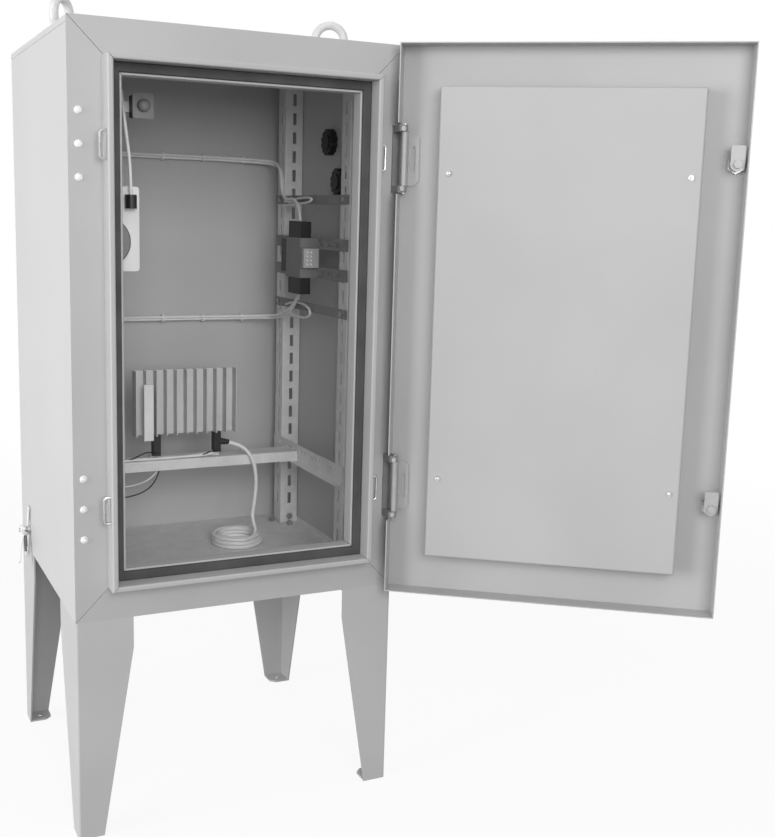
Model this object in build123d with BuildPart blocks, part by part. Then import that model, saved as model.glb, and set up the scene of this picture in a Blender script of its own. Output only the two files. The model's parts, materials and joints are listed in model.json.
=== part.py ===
"""Roadside utility cabinet on four legs, with its door swung open.

Millimetres, +Z up, +X to the right and -Y to the front.  The origin is on the
floor, under the middle of the body.  Every door piece is drawn where it lies
with the door shut, and its planes are then turned about the hinge axis.
"""
import math
import os

from build123d import *

# Overall sizes
WIDTH = 600.0
BODY_DEPTH = 556.0
SHELL_HEIGHT = 1000.0
LEG_HEIGHT = 400.0

# Sheet and general fits
SHEET = 2.0
BEND = 1.0
CLEARANCE = 0.3
SEAM = 0.5
PIN_CLEARANCE = 0.05

# Front frame: a gutter folded round the opening
FRAME_MARGIN = 57.0
COLLAR_PROUD = 34.0
COLLAR_FACE = 10.0
GASKET = 10.0
SEAT_WIDTH = 16.5
LIP_WIDTH = 4.0
LIP_PROUD = 6.0
LIP_RETURN = 21.7
HEM_RADIUS = 1.5
MITRE_GAP = 0.35

# Fittings shared by both sides of the frame
FITTING_OFFSET = 301.0
SCREW_PITCH = 52.5
SCREW_INSET = 17.0
SCREW = 5.0
PLUG_HEAD = 13.0
PLUG_DOME = 3.5

# Door
DOOR_DEPTH = 40.0
DOOR_GAP = 4.0
DOOR_ANGLE = 144.0
PANEL_WIDTH = 452.0
PANEL_HEIGHT = 852.0
PANEL_SHEET = 1.5
PANEL_SCREW_X = 207.0
PANEL_SCREW_Z = 276.0

# Hinges
HINGE_INSET = 10.0
HINGE_LENGTH = 119.0
HINGE_BLOCK = 12.0
HINGE_PIN = 6.0
HINGE_KNUCKLE = 11.0
HINGE_NOTCH = 124.0
HINGE_PLATE = 3.0
LEAF_WIDTH = 22.0
LEAF_WINDOW = (6.0, 45.0)

# Locks and keepers
LOCK_INSET = 17.4
SPINDLE = 14.0
KEY_SQUARE = 8.0
KEY_LENGTH = 6.0
LOCK_BARREL = 22.0
LOCK_NUT = 28.0
CAM_WIDTH = 24.0
CAM_REACH = 31.0
CAM_THICKNESS = 3.0
CAM_BEHIND_BAR = 1.0
KEEPER_ROD = 5.0
KEEPER_SIDES = 8
KEEPER_HEIGHT = 50.0
KEEPER_REACH = 13.0
KEEPER_FORWARD = 21.5

# Roof and lifting eyes
ROOF_HEM = 12.0
EYE_HOLE = 40.0
EYE_ROD = 16.0
EYE_HEIGHT = 71.0
EYE_INSET = 42.0
EYE_Y = -30.0
EYE_TURNS = (("left", 140.0), ("right", 66.0))
EYE_STUD = 20.0
EYE_COLLAR = 40.0
EYE_SHANK = 24.0
EYE_SIDES = 12

# Legs
LEG_SHEET = 3.0
LEG_FRONT = 100.0
LEG_SIDE = 137.0
LEG_STRAIGHT = 56.0
FOOT = 45.0
FOOT_CUT = 12.0
FOOT_SHEET = 4.0
ANCHOR_HOLE = 12.0
ANCHOR_INSET = 24.0
LEG_BOLTS = ((55.0, 61.0), (28.0, 103.0))

# M8 fasteners
BOLT = 8.0
BOLT_HEAD = 13.0
HEAD_DEPTH = 5.3
NUT_DEPTH = 6.5
BOLT_SPARE = 9.0

# Mounting frame inside
PAN_FLANGE = 15.0
UPRIGHT = 40.0
UPRIGHT_FROM_FRONT = 133.0
UPRIGHT_FROM_BACK = 86.0
SLOT_PITCH = 40.0
SLOT = (25.0, 8.0)
BRACKET = (36.0, 30.0, 3.0)
BAR = 2.0
STRIPS = ((1128.0, 18.0), (907.0, 18.0))
ARM_TOPS = (1052.0, 993.0)
ARM_HEIGHT = 23.0
BEAM_TOP = 591.0
BEAM_HEIGHT = 21.0
BEAM_DEPTH = 60.0
BEAM_FRONT = 88.0
ANGLE_HEIGHT = 36.0
ANGLE_SEAT = 20.0

# Vent plugs in the right wall: Y and Z of each
VENTS = ((36.0, 1245.0), (-15.0, 1165.0))
VENT_BARREL = 32.0
VENT_NUT = 53.0
VENT_NUT_DEPTH = 14.0

# Controller: back edge, bottom and size in Y and Z
DEVICE_WIDTH = 38.0
DEVICE_Y = (-8.0, 77.0)
DEVICE_Z = (970.0, 1051.0)
TERMINAL_WIDTH = 23.0
TERMINAL_HEIGHT = 33.0

# Heater
HEATER_X = (-104.0, 110.0)
HEATER_Z = (644.0, 778.0)
HEATER_FRONT = 77.0
HEATER_DEPTH = 28.0
HEATER_BACK_PLATE = 5.0
FIN = 3.0
FIN_COUNT = 11
HEATER_FEET = (-66.0, 63.0)
HEATER_FOOT = 17.0
FOOT_LAP = 40.0
FOOT_LENGTH = 30.0
TERMINAL_RAISED = 10.0
TERMINAL_DEPTH = 16.0
STRIP_X = (-88.0, -68.0)

# Left-hand fittings
CONTROL = (-143.5, 1277.5)
CONTROL_PLATE = (37.0, 43.0)
CONTROL_DEPTH = 32.0
KNOB = 22.0
KNOB_HEIGHT = 14.0
BOX_X = (-246.0, -150.0)
BOX_Z = (991.0, 1139.0)
BOX_DEPTH = 52.0
BOX_COVER = (43.0, 1043.0)
GROMMET = (-167.0, 1113.0)
GROMMET_SIZE = (20.0, 24.0)

# Cables and the free cord
CABLE = 6.0
CABLE_SIDES = 8
CABLE_STEP = 5.2
WALL_STANDOFF = 14.0
CORD = 8.0
COIL = (113.0, 78.0)
COIL_RADIUS = 42.0
COIL_BAND = 26.0
COIL_HEIGHT = 24.0

# Earth stud on the left wall, and the knotted strap on it: Y and Z of each end
EARTH_Y = 178.0
EARTH_Z = 446.0
EARTH_STUD = 8.0
EARTH_LENGTH = 22.0
STRAP_THICKNESS = 3.0
STRAP_TAILS = (
    ((170, 450), (186, 450), (187, 494), (171, 496)),
    ((178, 452), (190, 444), (208, 386), (198, 380)),
    ((168, 446), (180, 452), (152, 388), (140, 392)),
)

HALF_W = WIDTH / 2
FRONT = -BODY_DEPTH / 2
BACK = BODY_DEPTH / 2
BASE = LEG_HEIGHT
TOP = BASE + SHELL_HEIGHT
MID = (BASE + TOP) / 2
FLOOR = BASE + SHEET
CEILING = TOP - SHEET
COLLAR_X = HALF_W - FRAME_MARGIN
COLLAR_FRONT = FRONT - COLLAR_PROUD
COLLAR_IN = FRAME_MARGIN + COLLAR_FACE
LIP_OUT = COLLAR_IN + SEAT_WIDTH
LIP_IN = LIP_OUT + LIP_WIDTH
DOOR_BACK = FRONT - DOOR_GAP
SEAT = DOOR_BACK + GASKET + CLEARANCE
DOOR_FRONT = DOOR_BACK - DOOR_DEPTH
DOOR_INSIDE = DOOR_FRONT + SHEET
HINGE_X = HALF_W - HINGE_INSET
HINGE_Y = (DOOR_FRONT + DOOR_BACK) / 2
SCREW_X = HALF_W - SCREW_INSET
LOCK_X = LOCK_INSET - HALF_W
KEEPER_Y = FRONT - KEEPER_FORWARD
CAM_FRONT = KEEPER_Y + KEEPER_ROD / 2 + CAM_BEHIND_BAR
POST_OUT = HALF_W - 2 * SHEET
POST_IN = POST_OUT - UPRIGHT
POST_FRONT = FRONT + UPRIGHT_FROM_FRONT
POST_BACK = BACK - UPRIGHT_FROM_BACK
POSTS_END = POST_BACK + UPRIGHT
BAR_IN = POST_IN - BAR
LEVELS = (MID + FITTING_OFFSET, MID - FITTING_OFFSET)
STRAP_X = -HALF_W - NUT_DEPTH - STRAP_THICKNESS

swing = Pos(HINGE_X, HINGE_Y, 0) * Rot(0, 0, DOOR_ANGLE) * Pos(-HINGE_X, -HINGE_Y, 0)


def save(shape, label):
    """Label one finished sub-part and write its STEP file."""
    shape.label = label
    export_step(shape, f"parts/{label}.step")


def save_group(label, *pieces):
    """Write several separate pieces as the solids of one node."""
    save(Compound(children=[solid for piece in pieces for solid in piece.solids()]), label)


def facing_front(y):
    """Plane at depth y, drawn in X and Z, whose extrusion runs to the front."""
    return Plane((0, y, 0), x_dir=(1, 0, 0), z_dir=(0, -1, 0))


def facing_right(x):
    """Plane at x, drawn in Y and Z, whose extrusion runs to the right."""
    return Plane((x, 0, 0), x_dir=(0, 1, 0), z_dir=(1, 0, 0))


def on_door(plane):
    """The plane, given with the door shut, turned with it about the hinge axis."""
    return Plane(swing * plane.location)


def rectangle_between(a0, a1, b0, b1, mode=Mode.ADD):
    """Rectangle between two corners of the sketch being drawn."""
    with Locations(((a0 + a1) / 2, (b0 + b1) / 2)):
        Rectangle(abs(a1 - a0), abs(b1 - b0), mode=mode)


def folded_face(*points, thickness=SHEET, side=Side.RIGHT):
    """Face of a folded sheet whose outer surface follows the points."""
    with BuildSketch(mode=Mode.PRIVATE) as face:
        with BuildLine():
            FilletPolyline(*points, radius=BEND + thickness)
            offset(amount=thickness, side=side)
        make_face()
    return face.sketch_local


def hexagon(across_flats, rotation=0):
    """Hexagon of a bolt head or nut, in the sketch being drawn."""
    RegularPolygon(across_flats / math.sqrt(3), 6, rotation=rotation)


def cable(points, diameter, sides=None):
    """Cable along the points, each bend as open as its shorter run allows.

    A held cable is given a number of sides, and a free one is round.
    """
    stops = [Vector(*point) for point in points]
    radii = []
    for before, corner, after in zip(stops, stops[1:], stops[2:]):
        first, second = corner - before, after - corner
        half_turn = math.radians(first.get_angle(second)) / 2
        radii.append(0.45 * min(first.length, second.length) / math.tan(half_turn))
    print("bend radii", [round(radius) for radius in radii])
    with BuildPart() as tube:
        with BuildLine() as route:
            FilletPolyline(*stops, radius=radii)
        with BuildSketch(Plane(origin=stops[0], z_dir=stops[1] - stops[0])) as section:
            if sides:
                RegularPolygon(diameter / 2, sides)
            else:
                Circle(diameter / 2)
        sweep(path=route.line)
    print("length", round(route.wires()[0].length), "volume over section",
          round(tube.part.volume / section.sketch.area))
    return tube.part


os.makedirs("parts", exist_ok=True)


# Body shell

with BuildPart() as side_wrap:
    with BuildSketch(Plane.XY.offset(BASE)):
        add(folded_face(
            (-HALF_W, FRONT + SHEET), (-HALF_W, BACK), (HALF_W, BACK), (HALF_W, FRONT + SHEET)
        ))
    extrude(amount=SHELL_HEIGHT - SHEET)
    with BuildSketch(Plane.XY.offset(TOP - ROOF_HEM - SEAM)):
        for side in (-1, 1):
            rectangle_between(side * (HALF_W - SHEET - BEND), side * HALF_W, FRONT, BACK)
    extrude(amount=ROOF_HEM + SEAM, mode=Mode.SUBTRACT)
    with BuildSketch(facing_right(HALF_W - 2 * SHEET)):
        with Locations(*VENTS):
            Circle(VENT_BARREL / 2)
    extrude(amount=3 * SHEET, mode=Mode.SUBTRACT)
    with BuildSketch(facing_right(-HALF_W - SHEET)):
        with Locations((EARTH_Y, EARTH_Z)):
            Circle(EARTH_STUD / 2)
    extrude(amount=3 * SHEET, mode=Mode.SUBTRACT)
save(side_wrap.part, "side_wrap")

with BuildPart() as roof:
    with BuildSketch(facing_front(BACK)):
        add(folded_face(
            (-HALF_W, TOP - ROOF_HEM), (-HALF_W, TOP), (HALF_W, TOP), (HALF_W, TOP - ROOF_HEM)
        ))
    extrude(amount=BODY_DEPTH - SHEET)
    with BuildSketch(Plane.XY.offset(CEILING)):
        with Locations((EYE_INSET - HALF_W, EYE_Y), (HALF_W - EYE_INSET, EYE_Y)):
            Circle(EYE_STUD / 2)
    extrude(amount=SHEET, mode=Mode.SUBTRACT)
save(roof.part, "roof")

bolt_holes = [
    (side_x * (HALF_W - from_side), side_y * (BACK - from_end))
    for from_side, from_end in LEG_BOLTS
    for side_x in (-1, 1)
    for side_y in (-1, 1)
]
with BuildPart() as floor_pan:
    with BuildSketch(facing_front(BACK - SHEET - BEND)):
        add(folded_face(
            (SHEET - HALF_W, BASE + PAN_FLANGE), (SHEET - HALF_W, BASE),
            (HALF_W - SHEET, BASE), (HALF_W - SHEET, BASE + PAN_FLANGE),
            side=Side.LEFT,
        ))
    extrude(amount=BODY_DEPTH - 2 * SHEET - BEND)
    with BuildSketch(Plane.XY.offset(BASE)):
        with Locations(*bolt_holes):
            Circle(BOLT / 2)
    extrude(amount=SHEET, mode=Mode.SUBTRACT)
save(floor_pan.part, "floor_pan")


# Front frame: four mitred lengths of one folded gutter section

def frame_section(plane, length, corners, drilled=False):
    """Length of the gutter section, cut to the mitre planes at both ends."""
    with BuildPart() as section:
        with BuildSketch(plane):
            with BuildLine():
                face_side = FilletPolyline(
                    (0, FRONT), (FRAME_MARGIN, FRONT), (FRAME_MARGIN, COLLAR_FRONT),
                    (COLLAR_IN, COLLAR_FRONT), (COLLAR_IN, SEAT), (LIP_OUT, SEAT),
                    (LIP_OUT, SEAT - LIP_PROUD), (LIP_IN, SEAT - LIP_PROUD),
                    (LIP_IN, SEAT + LIP_RETURN),
                    radius=(BEND, BEND + SHEET, BEND + SHEET, BEND, BEND, HEM_RADIUS, HEM_RADIUS),
                )
                back_side = FilletPolyline(
                    (LIP_IN - SHEET, SEAT + LIP_RETURN), (LIP_IN - SHEET, SEAT + SHEET),
                    (COLLAR_IN - SHEET, SEAT + SHEET),
                    (COLLAR_IN - SHEET, COLLAR_FRONT + SHEET),
                    (FRAME_MARGIN + SHEET, COLLAR_FRONT + SHEET),
                    (FRAME_MARGIN + SHEET, FRONT + SHEET), (0, FRONT + SHEET),
                    radius=(BEND, BEND + SHEET, BEND, BEND, BEND + SHEET),
                )
                Line(face_side @ 1, back_side @ 0)
                Line(back_side @ 1, face_side @ 0)
            make_face()
        extrude(amount=length)
        for corner in corners:
            split(bisect_by=corner.offset(MITRE_GAP), keep=Keep.TOP)
        if drilled:
            with BuildSketch(facing_front(FRONT + SHEET)):
                for level in LEVELS:
                    for step in (-SCREW_PITCH, 0, SCREW_PITCH):
                        with Locations((SCREW_X, level + step)):
                            Circle(SCREW / 2)
            extrude(amount=SHEET, mode=Mode.SUBTRACT)
            with BuildSketch(facing_right(COLLAR_X - SHEET)):
                for level in LEVELS:
                    for step in (-1, 1):
                        with Locations((KEEPER_Y, level + step * (KEEPER_HEIGHT - KEEPER_ROD) / 2)):
                            Circle(KEEPER_ROD / 2)
            extrude(amount=SHEET, mode=Mode.SUBTRACT)
    return section.part


right_stile = frame_section(
    Plane((HALF_W, 0, TOP), x_dir=(-1, 0, 0), z_dir=(0, 0, -1)),
    SHELL_HEIGHT,
    (
        Plane((HALF_W, 0, TOP), z_dir=(1, 0, -1)),
        Plane((HALF_W, 0, BASE), z_dir=(1, 0, 1)),
    ),
    drilled=True,
)
top_rail = frame_section(
    Plane((-HALF_W, 0, TOP), x_dir=(0, 0, -1), z_dir=(1, 0, 0)),
    WIDTH,
    (
        Plane((HALF_W, 0, TOP), z_dir=(-1, 0, 1)),
        Plane((-HALF_W, 0, TOP), z_dir=(1, 0, 1)),
    ),
)
save(right_stile, "front_stile_right")
save(mirror(right_stile, about=Plane.YZ), "front_stile_left")
save(top_rail, "front_rail_top")
save(mirror(top_rail, about=Plane.XY.offset(MID)), "front_rail_bottom")

with BuildPart() as door_gasket:
    with BuildSketch(facing_front(SEAT)):
        rectangle_between(
            COLLAR_IN - HALF_W + CLEARANCE, HALF_W - COLLAR_IN - CLEARANCE,
            BASE + COLLAR_IN + CLEARANCE, TOP - COLLAR_IN - CLEARANCE,
        )
        rectangle_between(
            LIP_OUT - HALF_W - CLEARANCE, HALF_W - LIP_OUT + CLEARANCE,
            BASE + LIP_OUT - CLEARANCE, TOP - LIP_OUT + CLEARANCE,
            mode=Mode.SUBTRACT,
        )
    extrude(amount=GASKET)
    fillet(door_gasket.faces().sort_by(Axis.Y)[0].edges(), radius=2.5)
    fillet(door_gasket.faces().sort_by(Axis.Y)[-1].edges(), radius=2 * BEND)
save(door_gasket.part, "door_gasket")

with BuildPart() as keepers:
    for side in (-1, 1):
        for level in LEVELS:
            half = (KEEPER_HEIGHT - KEEPER_ROD) / 2
            root = side * (COLLAR_X - SHEET)
            bar = side * (COLLAR_X + KEEPER_REACH - KEEPER_ROD / 2)
            with BuildLine() as staple:
                FilletPolyline(
                    (root, KEEPER_Y, level - half), (bar, KEEPER_Y, level - half),
                    (bar, KEEPER_Y, level + half), (root, KEEPER_Y, level + half),
                    radius=KEEPER_ROD,
                )
            with BuildSketch(facing_right(root)):
                with Locations((KEEPER_Y, level - half)):
                    RegularPolygon(KEEPER_ROD / 2, KEEPER_SIDES)
            sweep(path=staple.line)
save(keepers.part, "keepers")

with BuildPart() as plug_bolts:
    for level in LEVELS:
        for step in (-SCREW_PITCH, 0, SCREW_PITCH):
            with BuildSketch(facing_front(FRONT)):
                with Locations((-SCREW_X, level + step)):
                    Circle(PLUG_HEAD / 2)
            extrude(amount=PLUG_DOME)
    chamfer(plug_bolts.faces().group_by(Axis.Y)[0].edges(), length=PLUG_DOME * 0.7)
    with BuildSketch(facing_front(FRONT + 3 * SHEET)):
        for level in LEVELS:
            with Locations(*[(-SCREW_X, level + step) for step in (-SCREW_PITCH, 0, SCREW_PITCH)]):
                Circle(SCREW / 2)
    extrude(amount=3 * SHEET)


# Legs

with BuildPart() as leg:
    with BuildSketch():
        add(folded_face(
            (HALF_W - LEG_FRONT, FRONT), (HALF_W, FRONT), (HALF_W, FRONT + LEG_SIDE),
            thickness=LEG_SHEET, side=Side.LEFT,
        ))
    extrude(amount=LEG_HEIGHT)
    with BuildSketch(Plane.XY.offset(LEG_HEIGHT - LEG_SHEET)):
        rectangle_between(
            HALF_W - LEG_FRONT, HALF_W - LEG_SHEET, FRONT + LEG_SHEET, FRONT + LEG_SIDE
        )
        for from_side, from_end in LEG_BOLTS:
            with Locations((HALF_W - from_side, FRONT + from_end)):
                Circle(BOLT / 2, mode=Mode.SUBTRACT)
    extrude(amount=LEG_SHEET)
    with BuildSketch(facing_front(FRONT + LEG_SHEET)):
        with BuildLine():
            Polyline(
                (HALF_W - LEG_FRONT, 0), (HALF_W - FOOT, 0),
                (HALF_W - LEG_FRONT, LEG_HEIGHT - LEG_STRAIGHT), close=True,
            )
        make_face()
    extrude(amount=LEG_SHEET, mode=Mode.SUBTRACT)
    with BuildSketch(facing_right(HALF_W - LEG_SHEET)):
        with BuildLine():
            Polyline(
                (FRONT + LEG_SIDE, 0), (FRONT + FOOT, 0),
                (FRONT + LEG_SIDE, LEG_HEIGHT - LEG_STRAIGHT), close=True,
            )
        make_face()
    extrude(amount=LEG_SHEET, mode=Mode.SUBTRACT)
    with BuildSketch():
        inner = BEND + LEG_SHEET
        with BuildLine():
            Polyline(
                (HALF_W - inner, FRONT + LEG_SHEET), (HALF_W - FOOT, FRONT + LEG_SHEET),
                (HALF_W - FOOT, FRONT + FOOT - FOOT_CUT),
                (HALF_W - FOOT + FOOT_CUT, FRONT + FOOT), (HALF_W - LEG_SHEET, FRONT + FOOT),
                (HALF_W - LEG_SHEET, FRONT + inner), close=True,
            )
        make_face()
        with Locations((HALF_W - ANCHOR_INSET, FRONT + ANCHOR_INSET)):
            Circle(ANCHOR_HOLE / 2, mode=Mode.SUBTRACT)
    extrude(amount=FOOT_SHEET)
left_leg = mirror(leg.part, about=Plane.YZ)
save(leg.part, "leg_front_right")
save(left_leg, "leg_front_left")
save(mirror(leg.part, about=Plane.XZ), "leg_back_right")
save(mirror(left_leg, about=Plane.XZ), "leg_back_left")

with BuildPart() as leg_bolts:
    with BuildSketch(Plane.XY.offset(BASE - LEG_SHEET)):
        with Locations(*bolt_holes):
            Circle(BOLT / 2)
    extrude(amount=LEG_SHEET + SHEET + BOLT_SPARE)
    with BuildSketch(Plane.XY.offset(BASE - LEG_SHEET - HEAD_DEPTH)):
        with Locations(*bolt_holes):
            hexagon(BOLT_HEAD)
    extrude(amount=HEAD_DEPTH)

with BuildPart() as leg_nuts:
    with BuildSketch(Plane.XY.offset(FLOOR)):
        with Locations(*bolt_holes):
            hexagon(BOLT_HEAD)
            Circle(BOLT / 2, mode=Mode.SUBTRACT)
    extrude(amount=NUT_DEPTH)
save_group("leg_bolts", leg_bolts.part, leg_nuts.part)


# Lifting eyes

for eye_side, turn in EYE_TURNS:
    eye_x = (HALF_W - EYE_INSET) * (1 if eye_side == "right" else -1)
    eye_z = TOP + EYE_HEIGHT - EYE_HOLE / 2 - EYE_ROD
    with BuildPart() as eye:
        with BuildSketch(Plane.XZ.offset(-EYE_Y)):
            with BuildLine():
                Polyline(
                    (eye_x, CEILING - EYE_SHANK), (eye_x + EYE_STUD / 2, CEILING - EYE_SHANK),
                    (eye_x + EYE_STUD / 2, TOP), (eye_x + EYE_COLLAR / 2, TOP),
                    (eye_x + EYE_COLLAR / 2, TOP + EYE_ROD / 4),
                    (eye_x + EYE_STUD / 2, TOP + EYE_ROD / 2),
                    (eye_x + EYE_ROD / 4, eye_z - (EYE_HOLE + EYE_ROD) / 2),
                    (eye_x, eye_z - (EYE_HOLE + EYE_ROD) / 2), close=True,
                )
            make_face()
        revolve(axis=Axis((eye_x, EYE_Y, 0), (0, 0, 1)))
        facing = Vector(1, 0, 0).rotate(Axis.Z, turn)
        with BuildSketch(Plane(
            (eye_x, EYE_Y, eye_z), x_dir=facing.cross(Vector(0, 0, 1)), z_dir=(0, 0, 1)
        )):
            with Locations(((EYE_HOLE + EYE_ROD) / 2, 0)):
                RegularPolygon(EYE_ROD / 2, EYE_SIDES)
        revolve(axis=Axis((eye_x, EYE_Y, eye_z), facing))
    save(eye.part, f"lifting_eye_{eye_side}")

with BuildPart() as eye_nuts:
    with BuildSketch(Plane.XY.offset(CEILING - 16)):
        with Locations((EYE_INSET - HALF_W, EYE_Y), (HALF_W - EYE_INSET, EYE_Y)):
            hexagon(30)
            Circle(EYE_STUD / 2, mode=Mode.SUBTRACT)
    extrude(amount=16)
save(eye_nuts.part, "eye_nuts")


# Hinges: a frame leaf of two blocks on a web, and a knuckle leaf on the door

frame_leaves, door_leaves = [], []
for level in LEVELS:
    with BuildPart() as frame_leaf:
        nose = HINGE_KNUCKLE / 2
        for bottom in (level - HINGE_LENGTH / 2, level + HINGE_LENGTH / 2 - HINGE_BLOCK):
            with BuildSketch(Plane.XY.offset(bottom)):
                with BuildLine():
                    Polyline(
                        (HINGE_X + nose, HINGE_Y), (HINGE_X + 1, FRONT), (HINGE_X - 13, FRONT),
                        (HINGE_X - 13, HINGE_Y - nose), (HINGE_X, HINGE_Y - nose),
                    )
                    ThreePointArc(
                        (HINGE_X, HINGE_Y - nose),
                        (HINGE_X + nose * math.sin(math.pi / 4), HINGE_Y - nose * math.cos(math.pi / 4)),
                        (HINGE_X + nose, HINGE_Y),
                    )
                make_face()
                with Locations((HINGE_X, HINGE_Y)):
                    Circle(HINGE_PIN / 2, mode=Mode.SUBTRACT)
            extrude(amount=HINGE_BLOCK)
        with BuildSketch(facing_front(FRONT)):
            rectangle_between(
                HINGE_X - 13, HINGE_X + 1, level - HINGE_LENGTH / 2, level + HINGE_LENGTH / 2
            )
        extrude(amount=HINGE_PLATE)
        with BuildSketch(facing_front(FRONT)):
            with Locations((SCREW_X, level - SCREW_PITCH), (SCREW_X, level + SCREW_PITCH)):
                Circle(SCREW / 2)
        extrude(amount=2 * DOOR_DEPTH, mode=Mode.SUBTRACT)
    frame_leaves.append(frame_leaf.part)

    with BuildPart() as door_leaf:
        reach = HINGE_LENGTH / 2 - HINGE_BLOCK - CLEARANCE
        with BuildSketch(on_door(Plane.XY.offset(level - reach))):
            with Locations((HINGE_X, HINGE_Y)):
                Circle(HINGE_KNUCKLE / 2)
            web = HINGE_X - HINGE_KNUCKLE / 2
            rectangle_between(web, web + HINGE_PLATE, DOOR_INSIDE, HINGE_Y)
            rectangle_between(
                web + HINGE_PLATE - LEAF_WIDTH, web + HINGE_PLATE,
                DOOR_INSIDE, DOOR_INSIDE + HINGE_PLATE,
            )
            with Locations((HINGE_X, HINGE_Y)):
                Circle(HINGE_PIN / 2 + PIN_CLEARANCE, mode=Mode.SUBTRACT)
        extrude(amount=2 * reach)
        with BuildSketch(on_door(facing_front(DOOR_INSIDE + HINGE_PLATE))):
            with Locations((web + HINGE_PLATE / 2 - LEAF_WIDTH / 2, level)):
                SlotOverall(LEAF_WINDOW[1], LEAF_WINDOW[0], rotation=90)
            free_edge = web + HINGE_PLATE - LEAF_WIDTH
            for end in (-1, 1):
                with BuildLine():
                    Polyline(
                        (free_edge, level + end * (reach - 8)), (free_edge, level + end * reach),
                        (free_edge + 8, level + end * reach), close=True,
                    )
                make_face()
        extrude(amount=HINGE_PLATE, mode=Mode.SUBTRACT)
    door_leaves.append(door_leaf.part)
save_group("hinge_frame_leaves", *frame_leaves)
save_group("hinge_door_leaves", *door_leaves)

with BuildPart() as hinge_pins:
    for level in LEVELS:
        with BuildSketch(Plane.XY.offset(level - HINGE_LENGTH / 2 - 2)):
            with Locations((HINGE_X, HINGE_Y)):
                Circle(HINGE_PIN / 2)
        extrude(amount=HINGE_LENGTH + 2)
        with BuildSketch(Plane.XY.offset(level + HINGE_LENGTH / 2)):
            with Locations((HINGE_X, HINGE_Y)):
                Circle(HINGE_PIN * 0.75)
        extrude(amount=1.5)
save(hinge_pins.part, "hinge_pins")

with BuildPart() as hinge_screws:
    for level in LEVELS:
        for step in (-SCREW_PITCH, SCREW_PITCH):
            with BuildSketch(facing_front(FRONT + 4 * SHEET)):
                with Locations((SCREW_X, level + step)):
                    Circle(SCREW / 2)
            extrude(amount=4 * SHEET + FRONT - HINGE_Y + HINGE_KNUCKLE / 2)
            with BuildSketch(facing_front(HINGE_Y - HINGE_KNUCKLE / 2)):
                with Locations((SCREW_X, level + step)):
                    Circle(SCREW * 0.9)
                    hexagon(3)
            extrude(amount=3)
save_group("frame_screws", plug_bolts.part, hinge_screws.part)


# Door

with BuildPart() as door_skin:
    with BuildSketch(on_door(facing_front(DOOR_BACK))):
        rectangle_between(-HALF_W, HALF_W, BASE, TOP)
    extrude(amount=DOOR_DEPTH)
    with BuildSketch(on_door(facing_front(DOOR_BACK))):
        rectangle_between(SHEET - HALF_W, HALF_W - SHEET, BASE + SHEET, TOP - SHEET)
    extrude(amount=DOOR_DEPTH - SHEET, mode=Mode.SUBTRACT)
    front_face = door_skin.faces().sort_by(Axis((0, 0, 0), on_door(facing_front(0)).z_dir))[-1]
    fillet(front_face.edges(), radius=BEND + SHEET)
    for level in LEVELS:
        with BuildSketch(on_door(facing_front(DOOR_BACK))):
            rectangle_between(
                HALF_W - SHEET, HALF_W, level - HINGE_NOTCH / 2, level + HINGE_NOTCH / 2
            )
        extrude(amount=DOOR_DEPTH - SHEET - BEND, mode=Mode.SUBTRACT)
        with BuildSketch(on_door(facing_front(DOOR_INSIDE))):
            with Locations((LOCK_X, level)):
                Circle(LOCK_BARREL / 2)
        extrude(amount=SHEET, mode=Mode.SUBTRACT)
save(door_skin.part, "door_skin")

panel_screws_at = [
    (side * PANEL_SCREW_X, MID + end * PANEL_SCREW_Z) for side in (-1, 1) for end in (-1, 1)
]
with BuildPart() as door_panel:
    half_w, half_h = PANEL_WIDTH / 2, PANEL_HEIGHT / 2
    with BuildSketch(on_door(facing_front(DOOR_BACK))):
        rectangle_between(-half_w, half_w, MID - half_h, MID + half_h)
    extrude(amount=DOOR_DEPTH - SHEET)
    inward = Axis((0, 0, 0), on_door(facing_front(0)).z_dir)
    fillet(door_panel.faces().sort_by(inward)[0].edges(), radius=3 * PANEL_SHEET)
    with BuildSketch(on_door(facing_front(DOOR_BACK - PANEL_SHEET))):
        rectangle_between(
            PANEL_SHEET - half_w, half_w - PANEL_SHEET,
            MID - half_h + PANEL_SHEET, MID + half_h - PANEL_SHEET,
        )
    extrude(amount=DOOR_DEPTH, mode=Mode.SUBTRACT)
    with BuildSketch(on_door(facing_front(DOOR_BACK))):
        with Locations(*panel_screws_at):
            Circle(2.5)
    extrude(amount=PANEL_SHEET, mode=Mode.SUBTRACT)
save(door_panel.part, "door_inner_panel")

with BuildPart() as panel_screws:
    with BuildSketch(on_door(facing_front(DOOR_BACK))):
        with Locations(*panel_screws_at):
            Circle(2.5)
    extrude(amount=DOOR_DEPTH - SHEET)
    with BuildSketch(on_door(facing_front(DOOR_BACK + 2.5))):
        with Locations(*panel_screws_at):
            Circle(4.5)
    extrude(amount=2.5)

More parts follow.
